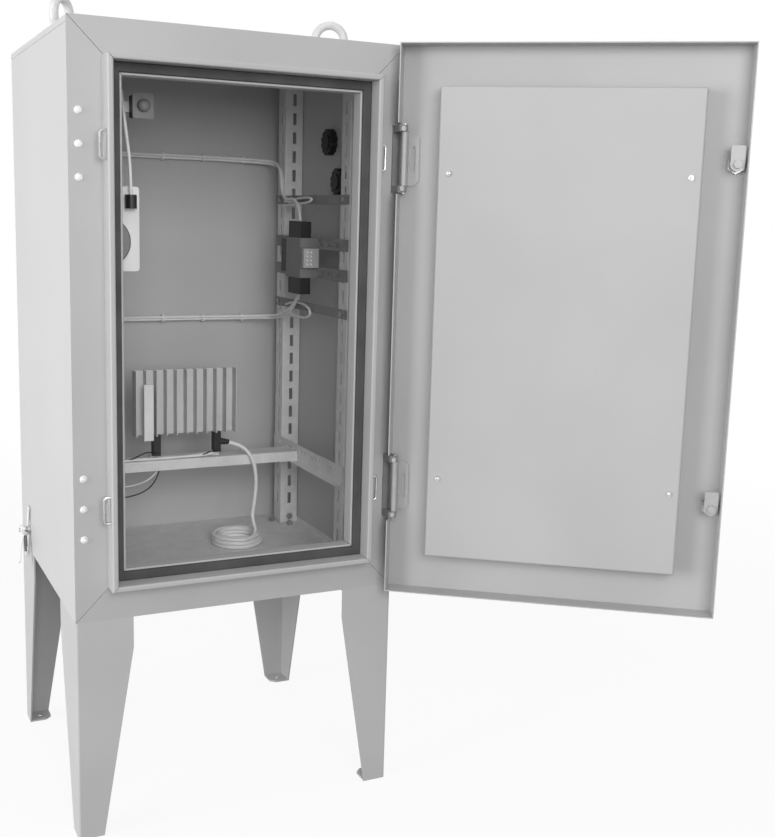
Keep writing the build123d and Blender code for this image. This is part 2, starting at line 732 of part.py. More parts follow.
lock_housings = []
for name, level in zip(("upper", "lower"), LEVELS):
    bore = SPINDLE / 2 + CLEARANCE
    with BuildPart() as lock_housing:
        with BuildSketch(on_door(facing_front(CAM_FRONT - CLEARANCE))):
            with Locations((LOCK_X, level)):
                Circle(LOCK_BARREL / 2)
        extrude(amount=CAM_FRONT - CLEARANCE - DOOR_FRONT)
        with BuildSketch(on_door(facing_front(DOOR_FRONT))):
            with Locations((LOCK_X, level)):
                Circle(LOCK_BARREL / 2 + 5)
        extrude(amount=3)
        with BuildSketch(on_door(facing_front(CAM_FRONT + CAM_THICKNESS))):
            with Locations((LOCK_X, level)):
                Circle(bore)
        extrude(amount=DOOR_DEPTH, mode=Mode.SUBTRACT)
    lock_housings.append(lock_housing.part)

    with BuildPart() as lock_cam:
        with BuildSketch(on_door(facing_front(CAM_FRONT + CAM_THICKNESS))) as cam_face:
            rectangle_between(
                LOCK_X - CAM_WIDTH / 2, LOCK_X + CAM_WIDTH / 2, level, level + CAM_REACH
            )
            fillet(cam_face.vertices().group_by(Axis.Y)[-1], radius=3)
            with Locations((LOCK_X, level)):
                Circle(CAM_WIDTH / 2)
        extrude(amount=CAM_THICKNESS)
        with BuildSketch(on_door(facing_front(CAM_FRONT))):
            with Locations((LOCK_X, level)):
                Circle(SPINDLE / 2)
        extrude(amount=CAM_FRONT - DOOR_FRONT + 1.5)
        with BuildSketch(on_door(facing_front(DOOR_FRONT - 1.5))):
            with Locations((LOCK_X, level)):
                Rectangle(KEY_SQUARE, KEY_SQUARE)
        extrude(amount=KEY_LENGTH)
        with BuildSketch(on_door(facing_front(CAM_FRONT + CAM_THICKNESS + HEAD_DEPTH))):
            with Locations((LOCK_X, level)):
                hexagon(BOLT_HEAD)
        extrude(amount=HEAD_DEPTH)
    save(lock_cam.part, f"lock_cam_{name}")

with BuildPart() as lock_nuts:
    for level in LEVELS:
        with BuildSketch(on_door(facing_front(DOOR_INSIDE + 7))):
            with Locations((LOCK_X, level)):
                hexagon(LOCK_NUT, rotation=30)
                Circle(LOCK_BARREL / 2, mode=Mode.SUBTRACT)
        extrude(amount=7)
save_group("lock_housings", *lock_housings)
save_group("door_fasteners", lock_nuts.part, panel_screws.part)


# Slotted uprights with their brackets

def upright(y_front):
    """Right-hand angle upright, slotted on both legs, its front leg at y_front."""
    with BuildPart() as post:
        with BuildSketch(Plane.XY.offset(FLOOR + BEND)):
            add(folded_face(
                (POST_OUT, y_front), (POST_IN, y_front), (POST_IN, y_front + UPRIGHT),
            ))
        extrude(amount=CEILING - FLOOR - BEND)
        count = int((CEILING - FLOOR - SLOT_PITCH) // SLOT_PITCH)
        middle = (POST_IN + POST_OUT + SHEET) / 2
        with BuildSketch(facing_front(y_front + SHEET)):
            with Locations((middle, MID)):
                with GridLocations(1, SLOT_PITCH, 1, count):
                    Rectangle(SLOT[1], SLOT[0])
        extrude(amount=SHEET, mode=Mode.SUBTRACT)
        with BuildSketch(facing_right(POST_IN)):
            with Locations((y_front + (UPRIGHT + SHEET) / 2, MID)):
                with GridLocations(1, SLOT_PITCH, 1, count):
                    Rectangle(SLOT[1], SLOT[0])
        extrude(amount=SHEET, mode=Mode.SUBTRACT)
    return post.part


for name, y_front in (("front", POST_FRONT), ("back", POST_BACK)):
    post = upright(y_front)
    save(post, f"upright_{name}_right")
    save(mirror(post, about=Plane.YZ), f"upright_{name}_left")

with BuildPart() as upright_brackets:
    width, height, thickness = BRACKET
    for side in (-1, 1):
        for y_front in (POST_FRONT, POST_BACK):
            for level, way in ((FLOOR, 1), (CEILING, -1)):
                with BuildSketch(facing_right(side * (POST_OUT + POST_IN) / 2 - width / 2 + side)):
                    behind = y_front + SHEET
                    with BuildLine():
                        Polyline(
                            (behind, level + way * height), (behind, level),
                            (behind + height, level), (behind + height, level + way * thickness),
                            (behind + thickness, level + way * thickness),
                            (behind + thickness, level + way * height), close=True,
                        )
                    make_face()
                extrude(amount=width)
save(upright_brackets.part, "upright_brackets")

with BuildPart() as upright_bolts:
    for side in (-1, 1):
        for y_front in (POST_FRONT, POST_BACK):
            for level in (FLOOR + 16, CEILING - 16):
                with BuildSketch(facing_front(y_front)):
                    with Locations((side * (POST_OUT + POST_IN + SHEET) / 2, level)):
                        hexagon(BOLT_HEAD)
                extrude(amount=HEAD_DEPTH)


# Bars between the right-hand uprights

strips, arms = [], []
for centre, height in STRIPS:
    with BuildPart() as strip:
        with BuildSketch(facing_right(BAR_IN)):
            rectangle_between(
                POST_FRONT, POSTS_END, centre - height / 2, centre + height / 2
            )
            with Locations((POST_FRONT + UPRIGHT / 2, centre), (POSTS_END - UPRIGHT / 2, centre)):
                Circle(3, mode=Mode.SUBTRACT)
        extrude(amount=BAR)
    strips.append(strip.part)
save_group("side_strips", *strips)

for top in ARM_TOPS:
    with BuildPart() as arm:
        with BuildSketch(facing_right(BAR_IN)):
            rectangle_between(POST_FRONT, POSTS_END, top - ARM_HEIGHT, top)
            with Locations(((POST_FRONT + POSTS_END) / 2, top - ARM_HEIGHT / 2)):
                with GridLocations(SLOT_PITCH, 1, 8, 1):
                    Rectangle(SLOT[0], SLOT[1], mode=Mode.SUBTRACT)
        extrude(amount=BAR)
    arms.append(arm.part)
save_group("device_arms", *arms)

with BuildPart() as bar_bolts:
    for level in (STRIPS[0][0], STRIPS[1][0]):
        for y in (POST_FRONT + UPRIGHT / 2, POSTS_END - UPRIGHT / 2):
            with BuildSketch(facing_right(BAR_IN - 4)):
                with Locations((y, level)):
                    hexagon(10)
            extrude(amount=4)
            with BuildSketch(facing_right(BAR_IN)):
                with Locations((y, level)):
                    Circle(3)
            extrude(amount=BAR)
save_group("mounting_bolts", upright_bolts.part, bar_bolts.part)

with BuildPart() as side_angle:
    seat = BEAM_TOP - BEAM_HEIGHT
    with BuildSketch(facing_front(POSTS_END)):
        add(folded_face(
            (POST_IN, seat - BAR + ANGLE_HEIGHT), (POST_IN, seat - BAR),
            (POST_IN - ANGLE_SEAT, seat - BAR),
            thickness=BAR,
        ))
    extrude(amount=POSTS_END - POST_FRONT)
    with BuildSketch(facing_right(BAR_IN)):
        with Locations(((POST_FRONT + POSTS_END) / 2, seat + ANGLE_HEIGHT * 0.6)):
            with GridLocations(SLOT_PITCH / 2, 1, 16, 1):
                Rectangle(SLOT[1], SLOT[1])
    extrude(amount=BAR, mode=Mode.SUBTRACT)
save_group("side_angles", side_angle.part, mirror(side_angle.part, about=Plane.YZ))

with BuildPart() as cross_beam:
    beam_end = BAR_IN - BEND - CLEARANCE
    with BuildSketch(facing_right(-beam_end)):
        add(folded_face(
            (BEAM_FRONT, seat), (BEAM_FRONT, BEAM_TOP),
            (BEAM_FRONT + BEAM_DEPTH, BEAM_TOP), (BEAM_FRONT + BEAM_DEPTH, seat),
        ))
    extrude(amount=2 * beam_end)
save(cross_beam.part, "cross_beam")


# Heater on two feet

heater_back = HEATER_FRONT + HEATER_DEPTH
with BuildPart() as heater_body:
    x0, x1 = HEATER_X
    with BuildSketch(Plane.XY.offset(HEATER_Z[0])):
        rectangle_between(x0, x1, heater_back - HEATER_BACK_PLATE, heater_back)
        pitch = (x1 - x0 - FIN) / (FIN_COUNT - 1)
        for index in range(FIN_COUNT):
            left = x0 + index * pitch
            with BuildLine():
                fin_root = heater_back - HEATER_BACK_PLATE
                Polyline(
                    (left, fin_root), (left + FIN, fin_root),
                    (left + FIN * 0.8, HEATER_FRONT), (left + FIN * 0.2, HEATER_FRONT), close=True,
                )
            make_face()
    extrude(amount=HEATER_Z[1] - HEATER_Z[0])
save(heater_body.part, "heater_body")

with BuildPart() as heater_feet:
    for left in HEATER_FEET:
        with BuildSketch(facing_right(left)):
            rectangle_between(heater_back, heater_back + BAR, BEAM_TOP, HEATER_Z[0] + FOOT_LAP)
            rectangle_between(heater_back, heater_back + FOOT_LENGTH, BEAM_TOP, BEAM_TOP + BAR)
        extrude(amount=HEATER_FOOT)
save(heater_feet.part, "heater_feet")

with BuildPart() as heater_terminals:
    for left in HEATER_FEET:
        with BuildSketch(facing_front(heater_back)):
            rectangle_between(left, left + HEATER_FOOT, BEAM_TOP + TERMINAL_RAISED, HEATER_Z[0])
        extrude(amount=TERMINAL_DEPTH)
    fillet(heater_terminals.edges().filter_by(Axis.Z), radius=2)
save(heater_terminals.part, "heater_terminals")

with BuildPart() as heater_strip:
    with BuildSketch(facing_front(HEATER_FRONT)):
        rectangle_between(*STRIP_X, HEATER_Z[0] - 8, HEATER_Z[1] - 26)
    extrude(amount=4)
    fillet(heater_strip.faces().sort_by(Axis.Y)[0].edges(), radius=1.5)
save(heater_strip.part, "heater_strip")


# Controller on the right-hand arms

y0, y1 = DEVICE_Y
z0, z1 = DEVICE_Z
device_in = BAR_IN - DEVICE_WIDTH
with BuildPart() as device_body:
    with BuildSketch(facing_right(device_in)):
        with BuildLine():
            Polyline(
                (y0, z0 + 20), (y0 + 8, z0 + 20), (y0 + 8, z0), (y1, z0), (y1, z1),
                (y0 + 8, z1), (y0 + 8, z1 - 20), (y0, z1 - 20), close=True,
            )
        make_face()
    extrude(amount=DEVICE_WIDTH)
    fillet(device_body.edges().filter_by(Axis.X), radius=1.5)
save(device_body.part, "device_body")

with BuildPart() as device_plate:
    with BuildSketch(facing_right(BAR_IN - 4)):
        rectangle_between(y1, POST_BACK, z0 + 5, z1 - 6)
    extrude(amount=4)
save(device_plate.part, "device_plate")

with BuildPart() as device_terminals:
    for bottom in (z0 - TERMINAL_HEIGHT, z1):
        with BuildSketch(Plane.XY.offset(bottom)):
            rectangle_between(device_in, device_in + TERMINAL_WIDTH, y0 + 8, y1 - 13)
        extrude(amount=TERMINAL_HEIGHT)
save(device_terminals.part, "device_terminals")


# Vent plugs in the right wall

with BuildPart() as vent_plugs:
    for y, z in VENTS:
        with BuildSketch(facing_right(HALF_W)):
            with Locations((y, z)):
                Circle(VENT_BARREL / 2 + 8)
        extrude(amount=4)
        with BuildSketch(facing_right(HALF_W - SHEET - VENT_NUT_DEPTH - 3)):
            with Locations((y, z)):
                Circle(VENT_BARREL / 2)
        extrude(amount=SHEET + VENT_NUT_DEPTH + 3)
save(vent_plugs.part, "vent_plugs")

with BuildPart() as vent_nuts:
    for y, z in VENTS:
        with BuildSketch(facing_right(HALF_W - SHEET - VENT_NUT_DEPTH)):
            with Locations((y, z)):
                Circle(VENT_NUT / 2)
                with PolarLocations(VENT_NUT / 2, 12):
                    Circle(3, mode=Mode.SUBTRACT)
                Circle(VENT_BARREL / 2, mode=Mode.SUBTRACT)
        extrude(amount=VENT_NUT_DEPTH)
save(vent_nuts.part, "vent_nuts")


# Left-hand fittings: rotary control and junction box

control_x, control_z = CONTROL
plate_w, plate_h = CONTROL_PLATE
with BuildPart() as control_base:
    with BuildSketch(facing_front(POST_FRONT + CONTROL_DEPTH)):
        with Locations(CONTROL):
            Rectangle(plate_w - 4, plate_h - 4)
    extrude(amount=CONTROL_DEPTH)
    fillet(control_base.edges().filter_by(Axis.Y), radius=3)
save(control_base.part, "control_base")

with BuildPart() as control_plate:
    with BuildSketch(facing_front(POST_FRONT)):
        with Locations(CONTROL):
            RectangleRounded(plate_w, plate_h, 3)
    extrude(amount=1.5)
    with BuildSketch(facing_front(POST_FRONT - 1.5)):
        with Locations(CONTROL):
            with GridLocations(plate_w - 9, plate_h - 9, 2, 2):
                Circle(2.2)
    extrude(amount=1)
save(control_plate.part, "control_plate")

with BuildPart() as control_knob:
    knob_back = POST_FRONT - 1.5 - CLEARANCE
    with BuildSketch(facing_front(knob_back)):
        with Locations((control_x, control_z + 1)):
            Circle(KNOB / 2)
    extrude(amount=KNOB_HEIGHT * 0.4)
    with BuildSketch(facing_front(knob_back - KNOB_HEIGHT * 0.4)):
        with Locations((control_x, control_z + 1)):
            Rectangle(KNOB * 0.3, KNOB * 0.96)
    extrude(amount=KNOB_HEIGHT * 0.6)
save(control_knob.part, "control_knob")

with BuildPart() as control_arm:
    with BuildSketch(Plane.XY.offset(control_z - 9)):
        add(folded_face(
            (-POST_IN, POST_FRONT + 4), (-POST_IN, POST_FRONT + CONTROL_DEPTH + BAR),
            (control_x + plate_w / 2, POST_FRONT + CONTROL_DEPTH + BAR),
            thickness=BAR,
        ))
    extrude(amount=18)
save(control_arm.part, "control_arm")

with BuildPart() as junction_box:
    box_back = POST_FRONT + 5 + BOX_DEPTH
    with BuildSketch(facing_front(box_back)):
        rectangle_between(*BOX_X, *BOX_Z)
    extrude(amount=BOX_DEPTH)
    fillet(junction_box.edges().filter_by(Axis.Y), radius=6)
save(junction_box.part, "junction_box")

with BuildPart() as junction_cover:
    with BuildSketch(facing_front(POST_FRONT + 5)):
        with Locations((BOX_X[1] - 18 - BOX_COVER[0], BOX_COVER[1])):
            Circle(BOX_COVER[0])
    extrude(amount=14)
    chamfer(junction_cover.faces().sort_by(Axis.Y)[0].edges(), length=3)
save(junction_cover.part, "junction_cover")

with BuildPart() as grommet:
    radius, height = GROMMET_SIZE[0] / 2, GROMMET_SIZE[1]
    with BuildSketch(Plane.XY.offset(GROMMET[1] - height / 2)):
        with Locations((GROMMET[0], POST_FRONT + 5 - radius)):
            Circle(radius)
            Circle(CABLE / 2 + CLEARANCE, mode=Mode.SUBTRACT)
    extrude(amount=height)
save(grommet.part, "grommet")

with BuildPart() as junction_arm:
    with BuildSketch(Plane.XY.offset((BOX_Z[0] + BOX_Z[1]) / 2 - 20)):
        add(folded_face(
            (-POST_IN, POST_FRONT + 4), (-POST_IN, box_back + BAR), (BOX_X[1], box_back + BAR),
            thickness=BAR,
        ))
    extrude(amount=40)
save(junction_arm.part, "junction_arm")


# Fixed cables, tied along the back wall and the right-hand back upright

def second_cable(route):
    """The neighbour of a cable in its bundle, its two ends set beside the first's."""
    step = CABLE_STEP
    inner = [(x - step, y - step, z + step) for x, y, z in route[1:-1]]
    (x0, y0, z0), (x1, y1, z1) = route[0], route[-1]
    return [(x0 - step * 1.5, y0, z0), *inner, (x1, y1 - step * 1.5, z1)]


cable_y = BACK - SHEET - WALL_STANDOFF
post_x = POST_IN - CABLE - SHEET
upper_z, lower_z = 1210.0, 865.0
upper_route = (
    (-215, box_back + 2 * CLEARANCE, 1098), (-218, 20, 1104), (-226, 150, upper_z),
    (-190, cable_y, upper_z), (post_x - 2, cable_y, upper_z), (post_x, POST_BACK - 6, 1195),
    (post_x - 1, POST_BACK - 14, 1120), (238, 60, 1128),
    (222, 24, z1 + TERMINAL_HEIGHT + 2.3),
)
lower_route = (
    (-200, box_back + 2 * CLEARANCE, 1012), (-205, 0, 1000), (-226, 140, 874),
    (-190, cable_y, lower_z), (post_x - 2, cable_y, lower_z), (post_x, POST_BACK - 5, 872),
    (240, 84, 902), (222, 24, z0 - TERMINAL_HEIGHT - 3),
)
fixed_cables = []
for route in (upper_route, lower_route):
    fixed_cables += [
        cable(route, CABLE, CABLE_SIDES), cable(second_cable(route), CABLE, CABLE_SIDES)
    ]

with BuildPart() as cable_ties:
    for level in (upper_z, lower_z):
        for x in (-90, 0, 90, 180):
            with BuildSketch(facing_right(x)):
                with Locations((cable_y - CABLE_STEP / 2, level + CABLE_STEP / 2)):
                    Circle(CABLE + 2.5)
                rectangle_between(cable_y, BACK - SHEET, level - 3, level + 8)
                with Locations((cable_y - CABLE_STEP / 2, level + CABLE_STEP / 2)):
                    Circle(CABLE + 1, mode=Mode.SUBTRACT)
            extrude(amount=5)
save(cable_ties.part, "cable_ties")

grommet_y = POST_FRONT + 5 - GROMMET_SIZE[0] / 2
control_route = (
    (-176, POST_FRONT + 22, 1305), (-173, POST_FRONT + 8, 1240),
    (GROMMET[0], grommet_y, GROMMET[1] + 60), (GROMMET[0], grommet_y, GROMMET[1]),
)
save_group("fixed_cables", *fixed_cables, cable(control_route, CABLE, CABLE_SIDES))


# Free cord from the heater, ending in a coil on the floor pan

hanging_route = (
    (80.8, 97, 622), (118, 92, 618), (146, 78, 590), (156, 77, 540), (151, 77.5, 488),
    (146, 77, 458), (149, 79, FLOOR + COIL_HEIGHT + CLEARANCE),
)
save(cable(hanging_route, CORD), "hanging_cable")

with BuildPart() as cable_coil:
    with BuildSketch(Plane.XZ.offset(-COIL[1])):
        with Locations((COIL[0] + COIL_RADIUS, FLOOR + COIL_HEIGHT / 2)):
            band = Rectangle(COIL_BAND, COIL_HEIGHT)
            chamfer(band.vertices(), length=CORD / 2)
    revolve(axis=Axis((COIL[0], COIL[1], 0), (0, 0, 1)))
save(cable_coil.part, "cable_coil")


# Earth stud on the left wall with its knotted strap

with BuildPart() as earth_stud:
    with BuildSketch(facing_right(-HALF_W - EARTH_LENGTH)):
        with Locations((EARTH_Y, EARTH_Z)):
            Circle(EARTH_STUD / 2)
    extrude(amount=EARTH_LENGTH + SHEET + BOLT_SPARE)

with BuildPart() as earth_nuts:
    for x in (-HALF_W - NUT_DEPTH, STRAP_X - NUT_DEPTH, -HALF_W + SHEET):
        with BuildSketch(facing_right(x)):
            with Locations((EARTH_Y, EARTH_Z)):
                hexagon(BOLT_HEAD)
                Circle(EARTH_STUD / 2, mode=Mode.SUBTRACT)
        extrude(amount=NUT_DEPTH)
save_group("earth_bolt", earth_stud.part, earth_nuts.part)

with BuildPart() as earth_strap:
    with BuildSketch(facing_right(STRAP_X)):
        for tail in STRAP_TAILS:
            with BuildLine():
                FilletPolyline(*tail, radius=2, close=True)
            make_face()
        with Locations((EARTH_Y, EARTH_Z)):
            Circle(12)
            Circle(EARTH_STUD / 2, mode=Mode.SUBTRACT)
    extrude(amount=STRAP_THICKNESS)
save(earth_strap.part, "earth_strap")
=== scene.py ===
# %% [markdown]
# # A roadside utility cabinet
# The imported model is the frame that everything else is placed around.  It holds
# each pressed, folded and turned piece at its real size, so this script gives
# those pieces their finishes, lays the free cord, and sets the camera and lamps.

# %% Load the frame
import json
import math

import bpy
import bmesh
from mathutils import Matrix, Vector


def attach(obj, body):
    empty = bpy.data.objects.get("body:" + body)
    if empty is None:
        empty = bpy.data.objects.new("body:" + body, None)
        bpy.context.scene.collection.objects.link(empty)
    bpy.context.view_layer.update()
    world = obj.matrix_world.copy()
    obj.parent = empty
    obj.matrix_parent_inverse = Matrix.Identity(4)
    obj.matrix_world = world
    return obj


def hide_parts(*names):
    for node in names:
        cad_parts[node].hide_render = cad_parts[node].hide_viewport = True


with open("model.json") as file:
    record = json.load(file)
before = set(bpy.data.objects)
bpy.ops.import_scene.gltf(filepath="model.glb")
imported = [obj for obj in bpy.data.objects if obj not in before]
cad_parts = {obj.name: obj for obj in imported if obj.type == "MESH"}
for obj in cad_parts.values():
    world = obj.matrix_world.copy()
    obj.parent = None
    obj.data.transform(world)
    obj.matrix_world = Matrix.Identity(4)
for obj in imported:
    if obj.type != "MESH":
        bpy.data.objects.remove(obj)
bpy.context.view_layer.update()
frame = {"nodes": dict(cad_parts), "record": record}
nodes = frame["nodes"]
MM = 0.001

# %% [markdown]
# ## Camera
# The cabinet is seen from its left front corner, a little above its middle.
# The eye's place, its two angles and its slight roll were found from the
# cabinet's own corners, so the lens is given as a distance in pixels.

# %% Camera
IMAGE_W, IMAGE_H = 775, 837
EYE = Vector((-0.6658, -2.1515, 1.1009))
HEADING, TILT, ROLL = math.radians(25.52), math.radians(-9.445), math.radians(1.466)
FOCAL_PX = 1136.8
CENTRE_PX = (361.2, 403.6)
SENSOR = 36.0
FAR_CLIP = 50.0

forward = Vector((
    math.sin(HEADING) * math.cos(TILT), math.cos(HEADING) * math.cos(TILT), math.sin(TILT)
))
level_right = Vector((math.cos(HEADING), -math.sin(HEADING), 0))
level_up = level_right.cross(forward)
right = level_right * math.cos(ROLL) + level_up * math.sin(ROLL)
up = level_up * math.cos(ROLL) - level_right * math.sin(ROLL)

camera = bpy.data.objects.new("camera", bpy.data.cameras.new("camera"))
bpy.context.scene.collection.objects.link(camera)
camera.matrix_world = Matrix.Translation(EYE) @ Matrix(
    (right, up, -forward)).transposed().to_4x4()
camera.data.sensor_width = SENSOR
camera.data.lens = FOCAL_PX * SENSOR / IMAGE_H
camera.data.shift_x = (IMAGE_W / 2 - CENTRE_PX[0]) / IMAGE_H
camera.data.shift_y = (CENTRE_PX[1] - IMAGE_H / 2) / IMAGE_H
camera.data.clip_end = FAR_CLIP
bpy.context.scene.camera = camera
print("lens", round(camera.data.lens, 1), "mm")

# %% [markdown]
# ## Light
# The cabinet stands in soft daylight that comes mostly from its left.  Large
# area lamps give it: a broad one on the left, a weaker one in front and one
# overhead.

# %% Lamps


def area_lamp(name, place, target, size, power):
    """Square area lamp at a place, turned to a target."""
    lamp = bpy.data.objects.new(name, bpy.data.lights.new(name, "AREA"))
    lamp.data.size = size
    lamp.data.energy = power
    lamp.location = place
    lamp.rotation_mode = "QUATERNION"
    lamp.rotation_quaternion = (Vector(target) - Vector(place)).to_track_quat("-Z", "Y")
    bpy.context.scene.collection.objects.link(lamp)
    return lamp


MIDDLE = (0.1, 0.0, 0.8)
area_lamp("left_window", (-4.5, -0.6, 1.3), MIDDLE, 2.6, 145)
area_lamp("front_fill", (-0.5, -4.0, 2.0), MIDDLE, 2.0, 72)
area_lamp("overhead", (0.3, -0.3, 4.2), MIDDLE, 3.0, 22)

print("lamps", len(bpy.data.lights))

# %% [markdown]
# ### Nodes
# Every material and the world are trees of nodes.  One small function adds a node
# with its settings and links, so a tree reads as a list of what it is made of.

# %% Adding a node


def add_node(tree, kind, settings=None, links=None):
    """Add one node: settings by property or socket name, links by socket name."""
    node = tree.nodes.new(kind)
    for key, value in (settings or {}).items():
        if hasattr(node, key) and key not in node.inputs:
            setattr(node, key, value)
        else:
            node.inputs[key].default_value = value
    for key, source in (links or {}).items():
        tree.links.new(source, node.inputs[key])
    return node


# %% [markdown]
# ### World
# The world is white to the camera and to reflections, and dimmer as a light, so
# the background is clean and the shaded sides keep their form.

# %% World
SKY_LEVEL = 0.42


def direct_rays(tree):
    """Output that is 1 for the rays of the camera, of reflections and of clear matter."""
    path = add_node(tree, "ShaderNodeLightPath")
    shown = path.outputs["Is Camera Ray"]
    for kind in ("Is Glossy Ray", "Is Transmission Ray"):
        either = add_node(tree, "ShaderNodeMath", {"operation": "MAXIMUM"})
        tree.links.new(shown, either.inputs[0])
        tree.links.new(path.outputs[kind], either.inputs[1])
        shown = either.outputs[0]
    return shown


world = bpy.data.worlds.new("studio")
bpy.context.scene.world = world
world.use_nodes = True
tree = world.node_tree
tree.nodes.clear()
strength = add_node(tree, "ShaderNodeMapRange", {"To Min": SKY_LEVEL, "To Max": 1.0},
                    {"Value": direct_rays(tree)})
sky = add_node(tree, "ShaderNodeBackground", {"Color": (1, 1, 1, 1)},
               {"Strength": strength.outputs["Result"]})
add_node(tree, "ShaderNodeOutputWorld", {}, {"Surface": sky.outputs[0]})
bpy.context.scene.view_settings.view_transform = "Standard"
print("world strength on the object", SKY_LEVEL)

# %% [markdown]
# ## Materials
# Colours are written as sRGB hex, the way a paint chart gives them, and one
# function turns them to the linear values that the renderer works in.  Each
# finish reads Object coordinates, so its grain has a real size in millimetres.
# The cabinet needs three families: powder coat, metal and plastic.

# %% Colours and an empty material
CLOUD_SPAN = (0.35, 0.65)


def linear(hex_colour):
    """sRGB hex to linear RGBA."""
    shares = [int(hex_colour[i:i + 2], 16) / 255 for i in (1, 3, 5)]
    colour = [c / 12.92 if c <= 0.04045 else ((c + 0.055) / 1.055) ** 2.4 for c in shares]
    return (*colour, 1.0)


def new_material(name):
    """Empty material: its tree, its shader and the object coordinates."""
    material = bpy.data.materials.new(name)
    material.use_nodes = True
    tree = material.node_tree
    tree.nodes.clear()
    shader = add_node(tree, "ShaderNodeBsdfPrincipled")
    add_node(tree, "ShaderNodeOutputMaterial", {}, {"Surface": shader.outputs[0]})
    place = add_node(tree, "ShaderNodeTexCoord").outputs["Object"]
    return material, tree, shader, place


# %% [markdown]
# ### Powder coat
# The sheets are sprayed with dry paint and baked.  The coat is one even grey with
# a soft sheen, and it dries with a fine orange-peel skin about 2.5 mm across.
# Its tone drifts very slightly over a quarter of a metre, as hand spraying leaves.

# %% Powder coat
SPRAY_DRIFT = 260.0
PEEL_WIDTH = 2.5
PEEL_DEPTH = 0.12
PEEL_STRENGTH = 0.35
SHEEN_SPREAD = (-0.05, 0.08)


def powder_coat(name, dark, light, rough=0.42):
    """Baked powder coat: even grey, soft sheen, fine orange peel."""
    material, tree, shader, place = new_material(name)
    drift = add_node(tree, "ShaderNodeTexNoise", {"Scale": 1 / (SPRAY_DRIFT * MM), "Detail": 4.0},
                     {"Vector": place})
    colours = add_node(tree, "ShaderNodeValToRGB", {}, {"Fac": drift.outputs["Fac"]})
    for stop, position, tone in zip(colours.color_ramp.elements, CLOUD_SPAN, (dark, light)):
        stop.position, stop.color = position, linear(tone)
    tree.links.new(colours.outputs["Color"], shader.inputs["Base Color"])
    peel = add_node(tree, "ShaderNodeTexNoise", {"Scale": 1 / (PEEL_WIDTH * MM), "Detail": 1.0},
                    {"Vector": place})
    skin = add_node(tree, "ShaderNodeBump", {
        "Distance": PEEL_DEPTH * MM, "Strength": PEEL_STRENGTH,
    }, {"Height": peel.outputs["Fac"]})
    gloss = add_node(tree, "ShaderNodeMapRange", {
        "To Min": rough + SHEEN_SPREAD[0], "To Max": rough + SHEEN_SPREAD[1],
    }, {"Value": drift.outputs["Fac"]})
    tree.links.new(skin.outputs["Normal"], shader.inputs["Normal"])
    tree.links.new(gloss.outputs["Result"], shader.inputs["Roughness"])
    return material


# %% [markdown]
# ### Metal
# Plated and stainless parts show the crystals or the grain of their surface as
# small patches of two greys.  A Voronoi pattern gives the patches, and a finer
# noise breaks them up.  Dull zinc has a pale skin that scatters most of the
# light, so the same tree serves it with little metal in the shader.

# %% Metal
HAZE = 40.0
DULL = 0.1
CRYSTAL_SHARE = 0.35
PATCH_SPAN = (0.35, 0.95)
POLISH_SPREAD = (-0.07, 0.12)


def crystalline(name, dark, light, rough=0.35, grain_mm=9.0, metal=1.0):
    """Metal skin whose patches drift between two greys."""
    material, tree, shader, place = new_material(name)
    crystals = add_node(tree, "ShaderNodeTexVoronoi", {"Scale": 1 / (grain_mm * MM)},
                        {"Vector": place})
    haze = add_node(tree, "ShaderNodeTexNoise", {"Scale": 1 / (HAZE * MM), "Detail": 4.0},
                    {"Vector": place})
    mixed = add_node(tree, "ShaderNodeMath", {"operation": "MULTIPLY_ADD"})
    tree.links.new(crystals.outputs["Color"], mixed.inputs[0])
    mixed.inputs[1].default_value = CRYSTAL_SHARE
    tree.links.new(haze.outputs["Fac"], mixed.inputs[2])
    colours = add_node(tree, "ShaderNodeValToRGB", {}, {"Fac": mixed.outputs[0]})
    for stop, position, tone in zip(colours.color_ramp.elements, PATCH_SPAN, (dark, light)):
        stop.position, stop.color = position, linear(tone)
    tree.links.new(colours.outputs["Color"], shader.inputs["Base Color"])
    gloss = add_node(tree, "ShaderNodeMapRange", {
        "To Min": rough + POLISH_SPREAD[0], "To Max": rough + POLISH_SPREAD[1],
    }, {"Value": mixed.outputs[0]})
    tree.links.new(gloss.outputs["Result"], shader.inputs["Roughness"])
    shader.inputs["Metallic"].default_value = metal
    return material


# %% [markdown]
# ### Plastic, rubber and tape
# Moulded parts take the fine texture of their mould, and their colour clouds a
# little over a few centimetres.  Rubber foam and woven tape are the same tree
# with a rougher surface and a deeper, coarser grain.

# %% Moulded parts
CLOUD = 60.0
GRAIN_STRENGTH = 0.5
PLASTIC_IOR = 1.48


def moulded(name, dark, light, rough=0.5, grain_mm=1.2, depth_mm=0.08):
    """Moulded plastic or rubber: one colour, slightly clouded, with a fine texture."""
    material, tree, shader, place = new_material(name)
    cloud = add_node(tree, "ShaderNodeTexNoise", {"Scale": 1 / (CLOUD * MM), "Detail": 3.0},
                     {"Vector": place})
    colours = add_node(tree, "ShaderNodeValToRGB", {}, {"Fac": cloud.outputs["Fac"]})
    for stop, position, tone in zip(colours.color_ramp.elements, CLOUD_SPAN, (dark, light)):
        stop.position, stop.color = position, linear(tone)
    tree.links.new(colours.outputs["Color"], shader.inputs["Base Color"])
    grain = add_node(tree, "ShaderNodeTexNoise", {"Scale": 1 / (grain_mm * MM)},
                     {"Vector": place})
    skin = add_node(tree, "ShaderNodeBump", {
        "Distance": depth_mm * MM, "Strength": GRAIN_STRENGTH,
    }, {"Height": grain.outputs["Fac"]})
    tree.links.new(skin.outputs["Normal"], shader.inputs["Normal"])
    shader.inputs["Roughness"].default_value = rough
    shader.inputs["IOR"].default_value = PLASTIC_IOR
    return material


# %% [markdown]
# ### The finishes
# One material for each slot of the model, and five more for pieces that need a
# tone or a glow of their own.  The comments say what each real finish gives the eye.

